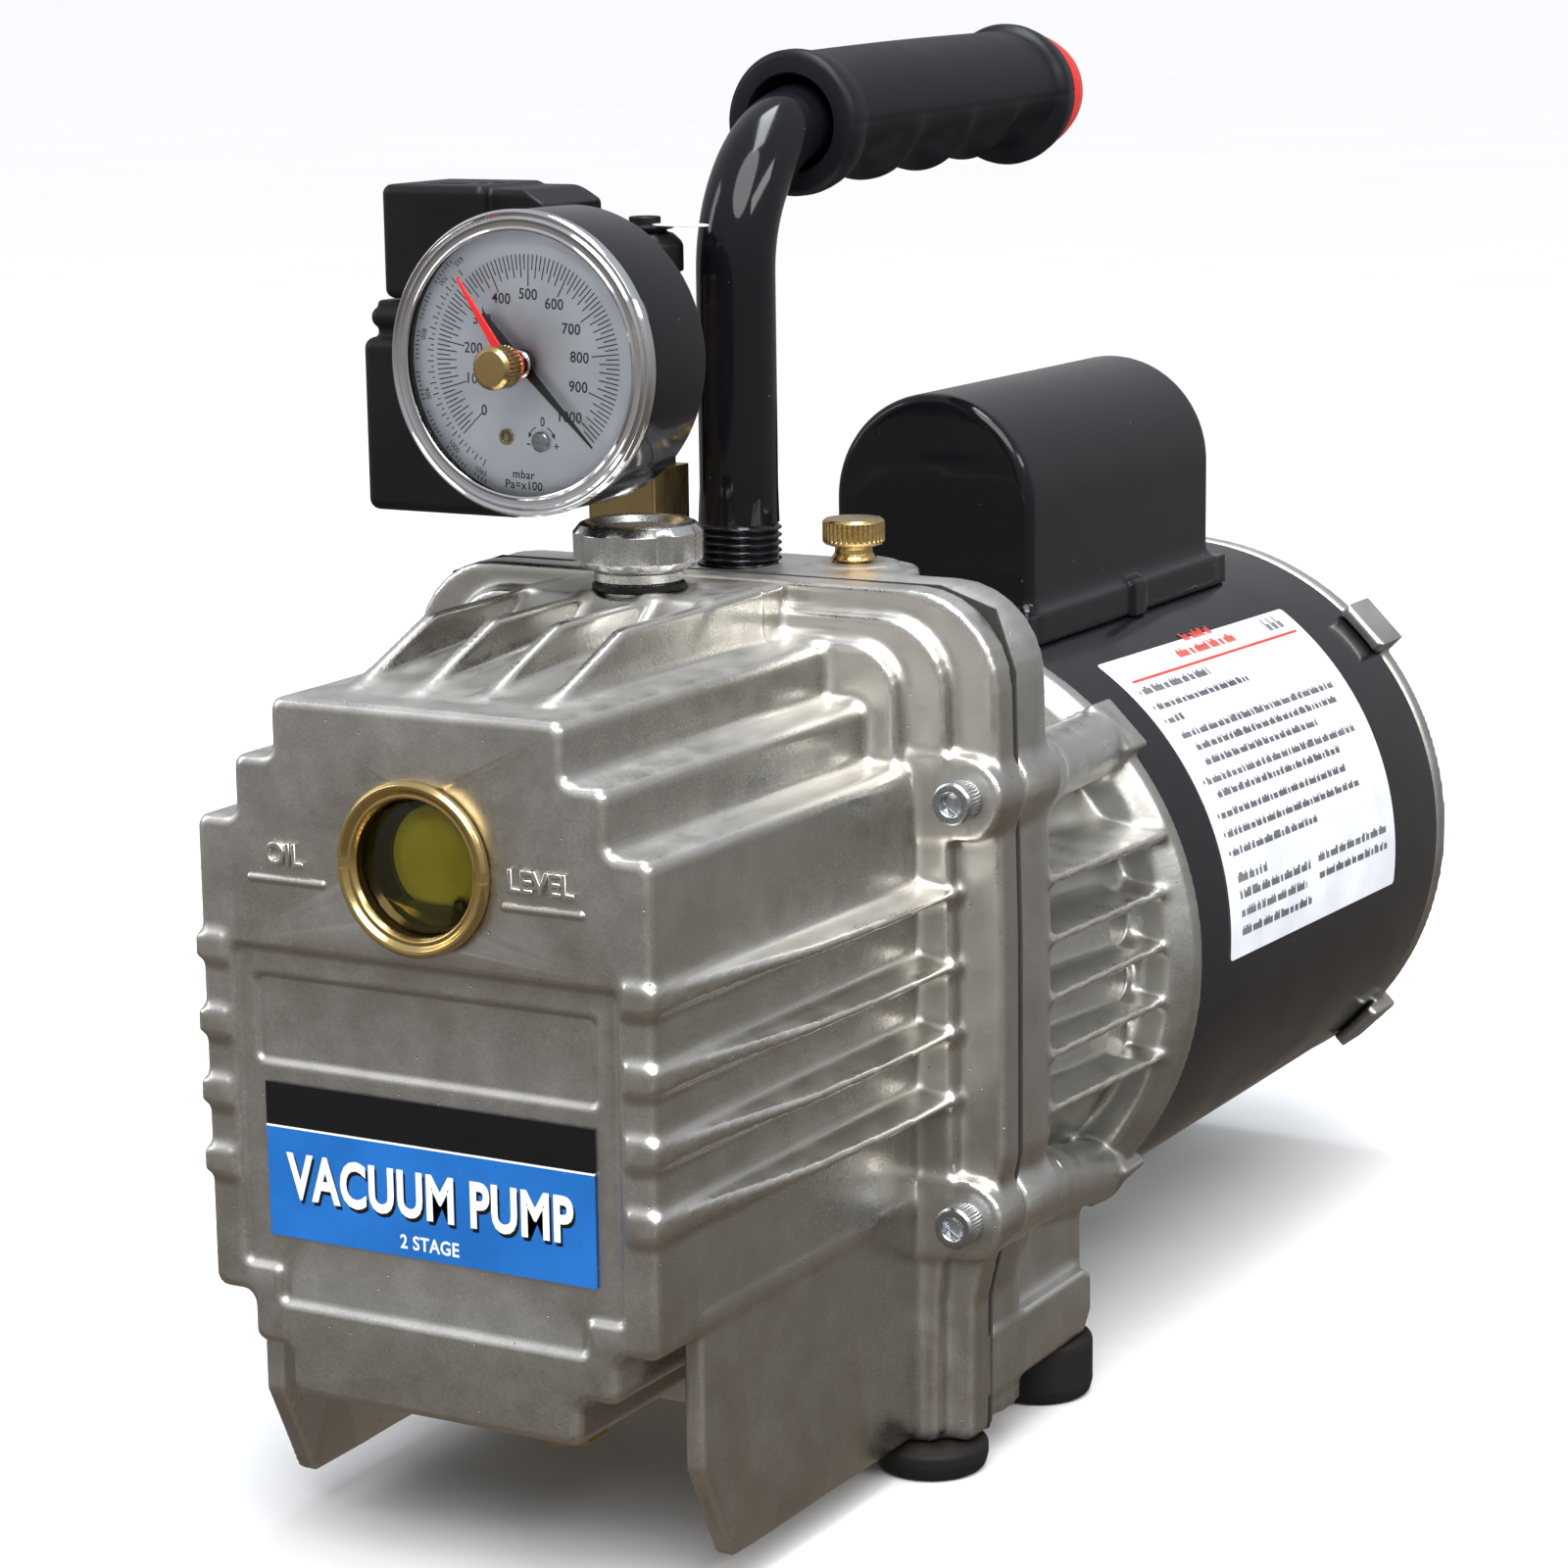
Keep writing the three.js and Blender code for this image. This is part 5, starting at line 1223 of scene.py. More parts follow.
def nipple_mesh():
    """The six-sided nipple in the box of its CAD node."""
    low, high = span("inlet_nipple")
    r, chamfer = (high[1] - low[1]) / 2, 0.6
    profile = [(0, low[2]), (r - chamfer, low[2]), (r, low[2] + chamfer), (r, high[2] - chamfer),
               (r - chamfer, high[2]), (0, high[2])]
    return turned("nipple", profile, NIPPLE, "z", 96, 0.1, lambda angle, radius, h: six_sided(angle, radius))


def sealant_mesh():
    """Thread sealant squeezed out in a rough ring round the top of the nipple."""
    top = span("inlet_nipple")[1][2]
    profile = [(6, top - 0.9), (7.3, top - 0.7), (7.7, top), (7.1, top + 0.6), (6, top + 0.7), (6, top - 0.9)]
    return turned("sealant", profile, NIPPLE, "z", 64, 0.2,
                  lambda angle, r, h: r + 0.35 * np.sin(angle * 5 + h) + 0.25 * np.sin(angle * 11 + 2 * h))


piece("inlet_nipple_hex", nipple_mesh(), BRASS, "inlet_nipple", angle=28)
piece("nipple_sealant", sealant_mesh(), SEALANT, [])
dress("inlet_manifold", BRASS_BLOCK, 0.7)
dress("inlet_fitting", BRASS, 0.4)
dress("solenoid_tube", BRASS, 0.3)
dress("solenoid_plunger", STEEL, 0.3)

CAP_LOW, CAP_HIGH = (corner[2] for corner in span("inlet_cap"))
FITTING = middle("inlet_fitting")


def inlet_cap_mesh():
    """A soft black dust cap: round shoulders, a thin washer and a button on top."""
    low, top = CAP_LOW, CAP_HIGH
    profile = [(7.2, low), (8.6, low, 0.5), (8.6, top - 6, 2.6), (6.4, top - 3.9, 1), (5.0, top - 3.5),
               (5.0, top - 2.9, 0.1), (6.4, top - 2.8, 0.2), (6.4, top - 2.1, 0.2), (3.6, top - 2, 0.2),
               (3.6, top - 0.1, 0.3), (2.6, top, 0.2), (2.4, top - 0.7, 0.1), (0, top - 0.8), (0, top - 4.6),
               (7.2, top - 6.5), (7.2, low)]
    return turned("inlet_cap", profile, (FITTING[0], FITTING[1], 0), "z", 64, 0.5)


def leaf_mesh():
    """The thin pale pull tab that lies on the washer and reaches to the right."""
    x, depth, z = FITTING[0], FITTING[1], CAP_HIGH - 2.0
    outline = [(x + 3, depth - 3.4), (x + 10, depth - 4.6), (x + 15, depth - 3.2), (x + 17.5, depth - 0.4),
               (x + 14, depth + 2.6), (x + 8, depth + 3.8), (x + 3, depth + 3.4)]
    return slab("leaf", soften(outline, 3, True, 5), z, z + 0.4, "z", 0.12, 2)


piece("inlet_cap_soft", inlet_cap_mesh(), PLASTIC, "inlet_cap", "inlet_cap", 40)
piece("inlet_cap_tab", leaf_mesh(), WHITE_TAB, [], "inlet_cap", 40)


# ---- solenoid ------------------------------------------------------------------------------------


def block(c, low, high, edge, blend=0.0):
    """Joins a rounded box to a casting."""
    c.join(np.array(low, float) - 1, np.array(high, float) + 1, boxed(low, high, edge), blend)


SMALL_STEP = 0.45
SMALL_KEEP = 0.35     # the share of their faces that the small mouldings keep


def coil_mesh():
    """The coil's body, with a raised block on top and the bore for its tube."""
    low, high = span("solenoid_coil")
    body_top, block_top = 255.5, 264
    c = Casting(low - 4, high + 4, SMALL_STEP)
    block(c, low, (high[0], high[1], body_top), 2.6)
    block(c, (low[0] + 3, low[1] + 2.5, body_top - 3), (high[0] - 2, high[1] - 4, block_top), 1.0, 1.2)
    block(c, (low[0] + 1.4, low[1] + 1.4, 257.6), (high[0] - 1, high[1] - 3, 262.4), 2.2, 0.6)
    _, y, z = middle("solenoid_tube")
    c.cut((low[0] - 3, y - 9, z - 9), (high[0] + 3, y + 9, z + 9),
          lambda px, py, pz: np.hypot(py - y, pz - z) - 8.3 + 0 * px, 0.3)
    return c.mesh("coil", SMALL_KEEP)


def connector_mesh():
    """The connector's housing: a sloping end, a dent on top and a deep hole for its screw."""
    low, high = span("solenoid_connector")
    c = Casting(low - 4, high + 4, SMALL_STEP)
    split, top = low[0] + 28, high[2]
    block(c, low, (split, high[1], top), 2.2)
    block(c, (split - 6, low[1] + 3.2, low[2]), (high[0], high[1], top - 0.8), 1.8, 0.8)
    c.cut((split, low[1] - 3, top - 12), (high[0] + 4, high[1] + 3, top + 4),
          lambda x, y, z: -((x - high[0] + 7) * 0.5 + (z - high[2] + 0.4) * 0.87 + 0 * y), 0.6)
    c.cut((low[0] + 8, low[1] + 6, top - 3), (low[0] + 20, low[1] + 13, top + 3),
          boxed((low[0] + 9, low[1] + 6.4, top - 1.6), (low[0] + 18.6, low[1] + 10.6, top + 4), 0.5), 0.3)
    x, y, _ = middle("connector_screw")
    c.cut((x - 6, y - 6, top - 14), (x + 6, y + 6, top + 3), bar((x, y), 3.1, "z", top - 12.2, top + 6), 0.4)
    return c.mesh("connector", SMALL_KEEP)


piece("solenoid_coil_moulding", coil_mesh(), PLASTIC, "solenoid_coil", angle=180)
piece("solenoid_connector_moulding", connector_mesh(), PLASTIC, "solenoid_connector",
      angle=180)
dress("connector_screw", ZINC, 0.2)


# ---- gauge ---------------------------------------------------------------------------------------

GAUGE = middle("gauge_bezel")
DIAL_FACE = span("gauge_dial")[0][1]
DIAL_R = 29.4
BEZEL_FRONT = span("gauge_bezel")[0][1]
BEZEL_R = (span("gauge_bezel")[1][0] - span("gauge_bezel")[0][0]) / 2
LIP_R = 28.4
ZERO = middle("gauge_zero_screw")


def gauge_rim_mesh():
    """The rolled chrome rim: a round outer edge, a groove, a flat band and a thin inner lip."""
    r, front = BEZEL_R, BEZEL_FRONT
    profile = [(r, front + 3), (r, front + 1.0, 0.5), (r - 0.5, front + 0.1, 0.4), (r - 0.9, front + 0.3),
               (r - 1.4, front + 0.7, 0.2), (r - 2.0, front + 0.05, 0.15), (r - 2.7, front + 0.3),
               (r - 3.6, front + 0.4), (LIP_R + 0.4, front + 0.05, 0.15), (LIP_R, front + 0.3),
               (LIP_R, front + 0.45), (31.2, front + 0.45), (31.2, front + 3), (r, front + 3)]
    return turned("bezel", profile, GAUGE, "y", 180, 0.3)


piece("gauge_bezel_rim", gauge_rim_mesh(), CHROME, "gauge_bezel", angle=28)
WINDOW_FRONT = BEZEL_FRONT + 0.6
WINDOW_MESH = turned("window", sleeve(2.3, 30.8, WINDOW_FRONT, WINDOW_FRONT + 0.4), GAUGE, "y", 128, 0.1)
piece("gauge_window_pane", WINDOW_MESH, WINDOW, "gauge_window", angle=28)


def gauge_case_mesh():
    """The deep steel cup behind the dial, with its rolled front edge and stepped back."""
    low, high = span("gauge_case")
    front, back, r = low[1], high[1], (high[0] - low[0]) / 2
    wall, behind = 30.2, DIAL_FACE + 1
    profile = [(wall, behind), (wall, front + 0.3), (wall + 0.4, front), (r - 0.3, front, 0.2),
               (r, front + 0.5), (r, back - 3, 1), (r - 3.2, back, 0.8), (5.2, back), (5.2, back - 1.6),
               (r - 4.5, back - 1.6), (r - 1.6, back - 4.5), (r - 1.6, behind), (wall, behind)]
    return turned("gauge_case", profile, GAUGE, "y", 160, 0.5)


piece("gauge_case_cup", gauge_case_mesh(), PAINT, "gauge_case", angle=40)
dress("gauge_stem", BRASS, 0.4)


def on_dial(angle, r):
    """The (x, z) of a point on the dial, its angle clockwise from the top."""
    return GAUGE[0] + r * math.sin(angle), GAUGE[2] + r * math.cos(angle)


def printed(name, outline):
    """A flat mark on the dial."""
    return slab(name, outline, DIAL_FACE - 0.05, DIAL_FACE + 0.02, "y", 0)


def dial_stroke(angle, inner, outer, width):
    """A straight printed stroke along a radius of the dial."""
    side = np.array([math.cos(angle), -math.sin(angle)]) * width / 2
    a, b = np.array(on_dial(angle, inner)), np.array(on_dial(angle, outer))
    return printed("stroke", [a - side, a + side, b + side, b - side])


def dial_arm(edge, degrees, low, high):
    """A flat hand over the dial, from (distance out, half width) pairs, bevelled along its edges."""
    angle = math.radians(degrees)
    whole = list(edge) + [(out, -half) for out, half in reversed(edge) if half]
    points = []
    for out, half in whole:
        x, z = on_dial(angle, out)
        points.append((x + half * math.cos(angle), z - half * math.sin(angle)))
    return slab("arm", points, low, high, "y", 0.06, 1)


DIAL_TURN = math.radians(2.3)
NUMBER_R = {0: 15.6, 100: 14.2, 200: 14.0, 300: 14.4, 400: 14.9, 500: 14.6, 600: 14.5, 700: 13.5, 800: 13.3,
            900: 13.6, 1000: 15.3}


def gauge_angle(value):
    return math.radians((value - 500) * 0.271) + DIAL_TURN


def inner_angle(value):
    """The angle of a value on the small second scale."""
    return math.radians(-38.4 - (value - 655) * 0.277)


def zero_marks():
    """The 0, minus, plus and two curved arrows around the zero screw."""
    x, z, r, half = ZERO[0], ZERO[2], 3.35, 0.12
    marks = [lettering("0", 2.9, x + 0.3, z + 4.2, DIAL_FACE, stretch=0.78, weight=0.03),
             lettering("-", 3.2, x - 3.4, z - 0.4, DIAL_FACE, weight=0.03),
             lettering("+", 2.6, x + 3.7, z - 1.0, DIAL_FACE, weight=0.03)]
    for side in (1, -1):
        arc = [math.radians(a) for a in np.linspace(24, 62, 9)]
        outer = [(x + side * (r + half) * math.sin(a), z + (r + half) * math.cos(a)) for a in arc]
        inner = [(x + side * (r - half) * math.sin(a), z + (r - half) * math.cos(a)) for a in reversed(arc)]
        marks.append(printed("arc", outer + inner))
        tip, root = math.radians(80), math.radians(60)
        head = [(x + side * reach * math.sin(a), z + reach * math.cos(a))
                for reach, a in ((r, tip), (r - 0.5, root), (r + 0.5, root))]
        marks.append(printed("head", head))
    return marks


def main_scale():
    """The strokes and numbers from 0 to 1000."""
    marks = []
    for n in range(101):
        inner = 16.4 if n % 10 == 0 else 18.2 if n % 2 == 0 else 19.9
        marks.append(dial_stroke(gauge_angle(n * 10), inner, 23.2, 0.26))
    for value, r in NUMBER_R.items():
        x, z = on_dial(gauge_angle(value), r)
        marks.append(lettering(str(value), 3.3, x, z, DIAL_FACE, turn=DIAL_TURN, stretch=0.92, weight=0.035))
    return marks


def outer_scale():
    """The small second scale round the lower left of the dial, and a ring of meaningless print outside it."""
    marks = []
    for value in range(665, 1066, 10):
        marks.append(dial_stroke(inner_angle(value), 24.2, 25.8 if value % 20 == 5 else 24.9, 0.24))
    for value in (655, 700, 800, 900, 1000, 1065):
        x, z = on_dial(inner_angle(value), 27.1)
        marks.append(lettering(str(value), 1.7, x, z, DIAL_FACE, turn=inner_angle(value) + math.pi))
    random = np.random.default_rng(12)
    for n in range(58):
        if n % 9 not in (7, 8):
            outer = 28.6 + 0.5 * random.random()
            marks.append(dial_stroke(math.radians(-42 - 2 * n), 28.0, outer, 0.22))
    return marks


def dial_mesh():
    """The dial's plate, all its print and its brass eyelet."""
    face = DIAL_FACE
    disc = [(0, face), (DIAL_R, face), (DIAL_R, face + 0.8), (0, face + 0.8)]
    plate = turned("plate", disc, GAUGE, "y", 128, 0)
    print_marks = zero_marks() + main_scale() + outer_scale()
    x, z = GAUGE[0], GAUGE[2]
    for text, drop in (("mbar", 24.2), ("Pa=x100", 26.5)):
        print_marks.append(lettering(text, 2.6, x - 1.7, z - drop, face, turn=DIAL_TURN, weight=0.03))
    eyelet = turned("eyelet", [(0, face - 0.1), (0.8, face - 0.15), (1.1, face - 0.5), (1.7, face - 0.6),
                               (1.9, face + 0.1), (0, face + 0.1)],
                    (x - 5.7, 0, z - 16.1), "y", 32, 0.2)
    for mark in print_marks:
        paint(mark, 1)
    return merged([paint(plate, 0), *print_marks, paint(eyelet, 2)], "gauge_dial")


piece("gauge_dial_print", dial_mesh(), [DIAL, DIAL_INK, BRASS], "gauge_dial", angle=30)


def zero_screw_mesh():
    low, high = span("gauge_zero_screw")
    front = low[1]
    profile = [(0, front), (1.8, front + 0.05), (2.2, front + 0.3), (2.3, front + 0.8), (1.4, front + 0.9),
               (1.4, high[1]), (0, high[1])]
    head = turned("zero", profile, ZERO, "y", 48, 0.2)
    slot = slab("slot", rectangle(-0.35, 0.35, -4, 4), front - 1, front + 0.4, "y", 0)
    slot.transform(Matrix.Rotation(math.radians(-22), 4, "Y"))
    slot.transform(Matrix.Translation(Vector((ZERO[0], 0, ZERO[2])) * MM))
    return carved(head, slot)


piece("gauge_zero_screw_slotted", zero_screw_mesh(), ZINC, "gauge_zero_screw", "zero_screw", 30)


def needle_mesh():
    """A tapering needle with a hub ring and a forked tail."""
    low, high = span("gauge_needle")
    front = low[1]
    needle = dial_arm([(24.6, 0.18), (2.0, 1.15), (-2.0, 1.2), (-14.2, 1.3), (-15.2, 1.75), (-12.9, 0)],
                      134.8, front + 0.1, front + 0.5)
    profile = [(1.3, front), (3.0, front), (3.2, front + 0.9), (0.9, front + 0.9), (0.9, high[1]),
               (0, high[1]), (0, front + 0.5), (1.3, front + 0.5), (1.3, front)]
    hub = turned("hub", profile, GAUGE, "y", 48, 0.1)
    return merged([needle, hub], "gauge_needle")


piece("gauge_needle_fine", needle_mesh(), POINTER_BLACK, "gauge_needle", "gauge_needle", 30)


def red_pointer_mesh():
    front, back = span("red_pointer")[0][1], span("red_pointer")[1][1]
    arm = dial_arm([(22.3, 0), (22.0, 0.28), (3, 1.1)], -33.8, front, back)
    hub = turned("hub", sleeve(2.2, 4.1, front, back), GAUGE, "y", 64, 0.1)
    return merged([arm, hub], "red_pointer")


piece("red_pointer_fine", red_pointer_mesh(), POINTER_RED, "red_pointer", "set_pointer", 30)


def pointer_knob_mesh():
    low, high = span("pointer_knob")
    front, r = low[1], (high[0] - low[0]) / 2
    profile = [(0, front + 0.05), (r - 0.8, front, 0.2), (r, front + 0.8, 0.2), (r, front + 0.9, 0),
               (r, front + 5.7, 0), (r, front + 5.9, 0.2), (r - 0.6, front + 6.4, 0.3),
               (1.9, front + 6.5, 0.1), (1.9, high[1]), (0, high[1])]
    return knurled("knob", profile, GAUGE, "y", r, 30, front + 0.85, front + 5.8, 0.4)


piece("pointer_knob_fluted", pointer_knob_mesh(), BRASS, "pointer_knob", "set_pointer", 30)
COLLAR_FRONT = BEZEL_FRONT - 1.4
COLLAR = [(2.0, COLLAR_FRONT), (2.6, COLLAR_FRONT, 0.1), (2.7, COLLAR_FRONT + 1.6, 0.1),
          (3.1, COLLAR_FRONT + 1.8, 0.1), (3.1, WINDOW_FRONT - 0.1, 0.1), (2.0, WINDOW_FRONT - 0.1),
          (2.0, COLLAR_FRONT)]
piece("pointer_collar", turned("collar", COLLAR, GAUGE, "y", 48, 0.1), CHROME, [], "set_pointer", 40)


# ---- motor ---------------------------------------------------------------------------------------

SHELL_R, SHELL_WALL = 79.1, 1.6


def shell_mesh():
    low, high = (corner[1] for corner in span("motor_shell"))
    inner = SHELL_R - SHELL_WALL
    profile = [(inner, low), (SHELL_R - 0.3, low), (SHELL_R, low + 0.5), (SHELL_R, low + 40, 0),
               (SHELL_R, high - 40, 0), (SHELL_R, high - 0.5), (SHELL_R - 0.3, high), (inner, high),
               (inner, low)]
    return turned("shell", profile, (0, 0, AXIS_Z), "y", 200, 0.1)


piece("motor_shell_tube", shell_mesh(), SHELL_PAINT, "motor_shell", angle=35)


def curved_outline(outline, angle, depth, lift, tilt, thick, step=2.6):
    """Lays a flat outline, (round the motor, along it), on the shell as a thin solid."""
    outline = np.asarray(outline, float)
    low, high = outline[:, 0].min(), outline[:, 0].max()
    bm = bmesh.new()
    bottom = [bm.verts.new((u, v, 0)) for u, v in outline]
    bm.faces.new(bottom)
    cuts = max(1, int((high - low) / step))
    for i in range(1, cuts):
        at = low + (high - low) * i / cuts
        everything = [*bm.verts, *bm.edges, *bm.faces]
        bmesh.ops.bisect_plane(bm, geom=everything, plane_co=(at, 0, 0), plane_no=(1, 0, 0))
    extruded = bmesh.ops.extrude_face_region(bm, geom=list(bm.faces))
    for item in extruded["geom"]:
        if isinstance(item, bmesh.types.BMVert):
            item.co.z = thick
    ct, st = math.cos(tilt), math.sin(tilt)
    for v in bm.verts:
        u, w = v.co.x * ct - v.co.y * st, v.co.x * st + v.co.y * ct
        a, r = angle + u / SHELL_R, SHELL_R + lift + v.co.z
        v.co = Vector((r * math.cos(a), depth + w + FACE, AXIS_Z + r * math.sin(a))) * MM
    bmesh.ops.recalc_face_normals(bm, faces=bm.faces)
    mesh = bpy.data.meshes.new("patch")
    bm.to_mesh(mesh)
    bm.free()
    return mesh


BOX_FACES = ((0, 1, 2, 3), (7, 6, 5, 4), (0, 4, 5, 1), (1, 5, 6, 2), (2, 6, 7, 3), (3, 7, 4, 0))
LABEL_ANGLE, LABEL_DEPTH, LABEL_TILT = math.radians(26.8), 298, math.radians(1.7)
LABEL_HALF_ROUND, LABEL_HALF_LONG = 42.6, 57.0


def label_marks(boxes, lift, thick):
    """Small printed boxes (round low, round high, depth low, depth high) on the motor label, as one mesh."""
    points, faces = [], []
    ct, st = math.cos(LABEL_TILT), math.sin(LABEL_TILT)
    for u0, u1, w0, w1 in boxes:
        base = len(points)
        for r in (SHELL_R + lift, SHELL_R + lift + thick):
            for u, w in rectangle(u0, u1, w0, w1):
                a = LABEL_ANGLE + (u * ct - w * st) / SHELL_R
                points.append((r * math.cos(a), LABEL_DEPTH + u * st + w * ct, AXIS_Z + r * math.sin(a)))
        faces += [[base + i for i in face] for face in BOX_FACES]
    return mesh_of("marks", points, faces)


def greeked(rows, seed):
    """Rows of letter-like strokes: (round position, start, end, height). The words say nothing."""
    rng = np.random.default_rng(seed)
    boxes = []
    for at, start, end, height in rows:
        w = start
        while w < end - 1:
            for _ in range(int(rng.integers(2, 9))):
                tall = height * (1.0 if rng.random() < 0.35 else 0.72)
                wide = 0.62 * height / 1.9
                if w + wide > end:
                    break
                boxes.append((at, at + tall, w, w + wide * 0.72))
                w += wide
            w += 0.75 * height / 1.9
    return boxes


TEXT_ROWS = [(29.6, -50, -10, 2.5), (24.4, -50, 6, 2.0), (20.0, -50, -41, 2.0), (15.0, -49, 48, 2.0),
             (10.9, -45.5, 45, 2.0), (6.6, -45.5, 27, 2.0), (1.8, -50, 47, 2.0), (-2.2, -47.5, 33, 2.0),
             (-7.4, -50, 33, 2.0), (-12.3, -50, 39, 2.0), (-17.1, -50, 7, 2.0), (-23.9, -50, -31, 2.4),
             (-28.1, -50, -3, 2.3), (-32.6, -50, -6, 2.3), (-37.3, -50, -3, 2.3), (-27.3, 2, 51, 2.3),
             (-31.8, 2, 51, 2.3)]
BULLETS = (29.6, 24.4, 20.0, 1.8, -7.4, -12.3, -17.1)
HEADING = [(41.7, -6, 11.5, 3.0), (37.0, -17, 20, 3.0)]


def motor_label():
    """The paper with its heading, rows and corner marks, none of which can be read."""
    sheet = rectangle(-LABEL_HALF_ROUND, LABEL_HALF_ROUND, -LABEL_HALF_LONG, LABEL_HALF_LONG, 1.2)
    paper = curved_outline(sheet, LABEL_ANGLE, LABEL_DEPTH, 0.12, LABEL_TILT, 0.16)
    ink_lift, ink_thick = 0.28, 0.05
    grey = greeked(TEXT_ROWS, 5) + [(at + 0.5, at + 1.5, -52.2, -51.4) for at in BULLETS]
    grey += [(36.6, 41.0, 39.5 + 3.6 * i, 40.3 + 3.6 * i) for i in range(3)]
    grey += [(36.6, 39.0, 40.6 + 3.6 * i, 41.8 + 3.6 * i) for i in range(3)]
    red = greeked(HEADING, 9) + [(33.8, 34.6, -50.5, 52.5)]
    return merged([paint(paper, 0), paint(label_marks(grey, ink_lift, ink_thick), 1),
                   paint(label_marks(red, ink_lift, ink_thick), 2)], "label")


piece("motor_label_print", motor_label(), [PAPER, INK_GREY, INK_RED], "motor_label",
      angle=30)

COVER_LOW, COVER_HIGH = span("capacitor_cover")
COVER_HALF, COVER_FRONT, COVER_BACK, COVER_TOP, BEAD_TOP = 27.7, 232, 344, 232.6, 178.5


def cover_mesh(step):
    """The arched capacitor cover with a bead along its foot, hollow and cut to the motor's shell."""
    whole = ((-34, COVER_LOW[1] - 4, 160), (34, COVER_HIGH[1] + 4, COVER_TOP + 5))
    c = Casting(*whole, step)

    def arch(half):
        """The distance to the cover's section, half wide."""
        centre = COVER_TOP - COVER_HALF
        return lambda x, z: np.where(z > centre, np.hypot(x, z - centre) - half, np.abs(x) - half)
    outer, inner = arch(COVER_HALF), arch(COVER_HALF - 2)
    c.join(*whole, lambda x, y, z: pushed(outer(x, z), y, COVER_FRONT, COVER_BACK, 2.6), 0)
    c.join(*whole, lambda x, y, z: pushed(np.maximum(np.abs(x) - COVER_HALF - 2.5, z - BEAD_TOP), y,
                                          COVER_LOW[1], COVER_HIGH[1], 1.3), 4.5)
    for side in (1, -1):
        c.join((side * 29 - 5, 284, 160), (side * 29 + 5, 298, 184), boxed(
            (side * 29 - 2.6, 286, 160), (side * 29 + 2.6, 295, BEAD_TOP + 1.4), 1.2), 1.5)
    c.cut(*whole, lambda x, y, z: around_axis(x, z) - SHELL_R - 0.35 + 0 * y, 0)
    c.cut(*whole, lambda x, y, z: pushed(inner(x, z), y, COVER_FRONT + 2, COVER_BACK - 2, 2), 0)
    for node in ("cover_screw_front", "cover_screw_rear"):
        at = middle(node)
        c.cut((at[0] - 3, at[1] - 3, 160), (at[0] + 3, at[1] + 3, 184),
              lambda x, y, z: np.hypot(x - at[0], y - at[1]) - 1.9 + 0 * z, 0)
    return c.mesh("cover", 0.3)


piece("capacitor_cover_shell", cover_mesh(STEP), PAINT, "capacitor_cover",
      angle=180)
dress("capacitor", CAPACITOR, 1.0)
dress("rocker_switch", PLASTIC, 0.5)
dress("cord_gland", RUBBER, 0.4)
for node in ("cover_screw_front", "cover_screw_rear"):
    dress(node, ZINC, 0.2)
INSIDE = {"motor_stator": COPPER, "cooling_fan": PLASTIC, "pump_vane_1": CARBON, "pump_vane_2": CARBON}
for node in ("motor_rotor", "front_bearing", "rear_bearing", "shaft_coupling", "pump_cylinder",
             "pump_end_plate",
             "pump_rotor"):
    INSIDE[node] = STEEL
for node, finish in INSIDE.items():
    dress(node, finish, 0.3)


# ---- floor and light -----------------------------------------------------------------------------


def add_floor():
    mesh = bpy.data.meshes.new("floor")
    half = 800      # metres, so that its edge lies on the horizon
    corners = [(x, z, 0) for x, z in rectangle(-half, half, -half, half)]
    mesh.from_pydata(corners, [], [(0, 1, 2, 3)])
    look = Finish("floor_paper", (0.86, 0.86, 0.86), 0.9)
    look.colour(look.mix(look.noise(400, 2), (0.84, 0.84, 0.845), (0.88, 0.88, 0.875)))
    mesh.materials.append(look.material)
    floor = linked("floor", mesh)
    floor.location.z = -0.0002
    floor.visible_glossy = False


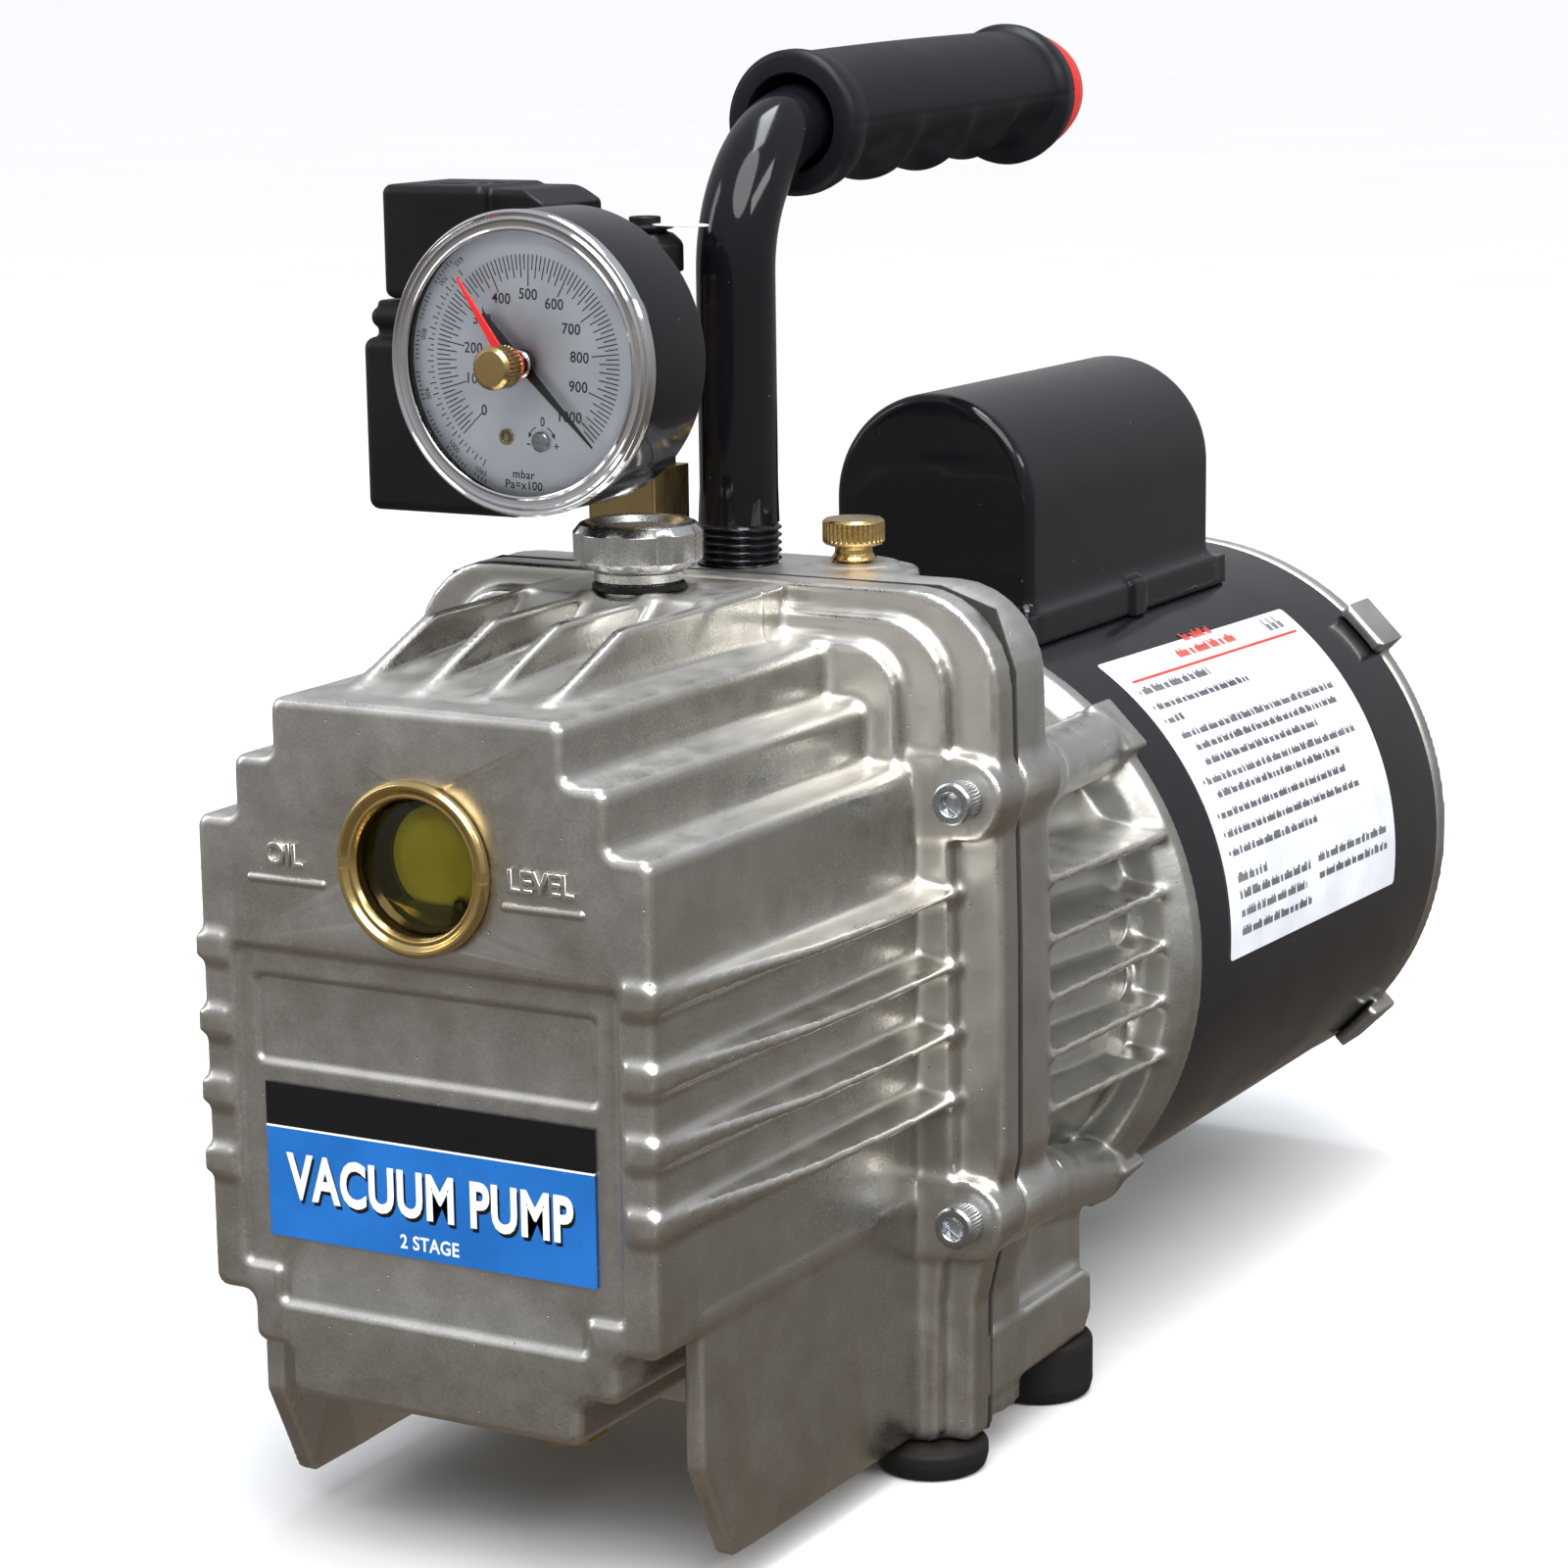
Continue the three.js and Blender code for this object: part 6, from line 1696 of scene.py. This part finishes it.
def add_world(low, level, high):
    """A studio sky: dim and warm beneath, paler at eye level, bright above."""
    world = bpy.data.worlds.new("studio")
    bpy.context.scene.world = world
    world.use_nodes = True
    nodes, links = world.node_tree.nodes, world.node_tree.links
    background = nodes["Background"]
    where, split, ramp = (nodes.new("ShaderNode" + kind) for kind in ("TexCoord", "SeparateXYZ", "ValToRGB"))
    place = nodes.new("ShaderNodeMapRange")
    place.inputs["From Min"].default_value = -1
    links.new(where.outputs["Generated"], split.inputs[0])
    links.new(split.outputs["Z"], place.inputs["Value"])
    links.new(place.outputs[0], ramp.inputs[0])
    links.new(ramp.outputs[0], background.inputs["Color"])
    stops = ramp.color_ramp.elements
    stops[0].position, stops[0].color = 0.30, (*low, 1)
    stops[1].position, stops[1].color = 0.80, (*high, 1)
    eye = stops.new(0.53)
    eye.color = (*level, 1)
    background.inputs["Strength"].default_value = 1.0


def aimed(name, data, direction):
    """A light in the scene that shines in a direction."""
    light = linked(name, data)
    light.rotation_euler = Vector(direction).to_track_quat("-Z", "Y").to_euler()
    return light


def add_light(name, place, target, power, width, height, colour):
    data = bpy.data.lights.new(name, "AREA")
    data.energy, data.shape, data.size, data.size_y, data.color = power, "RECTANGLE", width, height, colour
    data.diffuse_factor = 0.25      # the windows show mostly as reflections
    aimed(name, data, Vector(target) - Vector(place)).location = place


def add_sun(strength, angle, direction):
    data = bpy.data.lights.new("soft_sun", "SUN")
    data.energy, data.angle = strength, math.radians(angle)
    aimed("soft_sun", data, direction)


add_floor()
add_world((0.14, 0.12, 0.10), (0.34, 0.34, 0.34), (0.50, 0.52, 0.56))
add_sun(2.7, 45, (-0.45, 0.75, -1.1))
add_light("overhead", (0.1, 0.1, 1.9), (0, 0, 0.1), 24, 1.2, 0.5, (0.90, 0.95, 1.0))
add_light("window_left", (-1.7, -0.9, 1.0), (0, -0.1, 0.15), 7, 0.4, 1.2, (0.92, 0.96, 1.0))
add_light("window_right", (1.8, -0.2, 1.3), (0, 0, 0.15), 12, 1.4, 0.35, (1.0, 0.98, 0.95))
bpy.context.scene.view_settings.view_transform = "Standard"
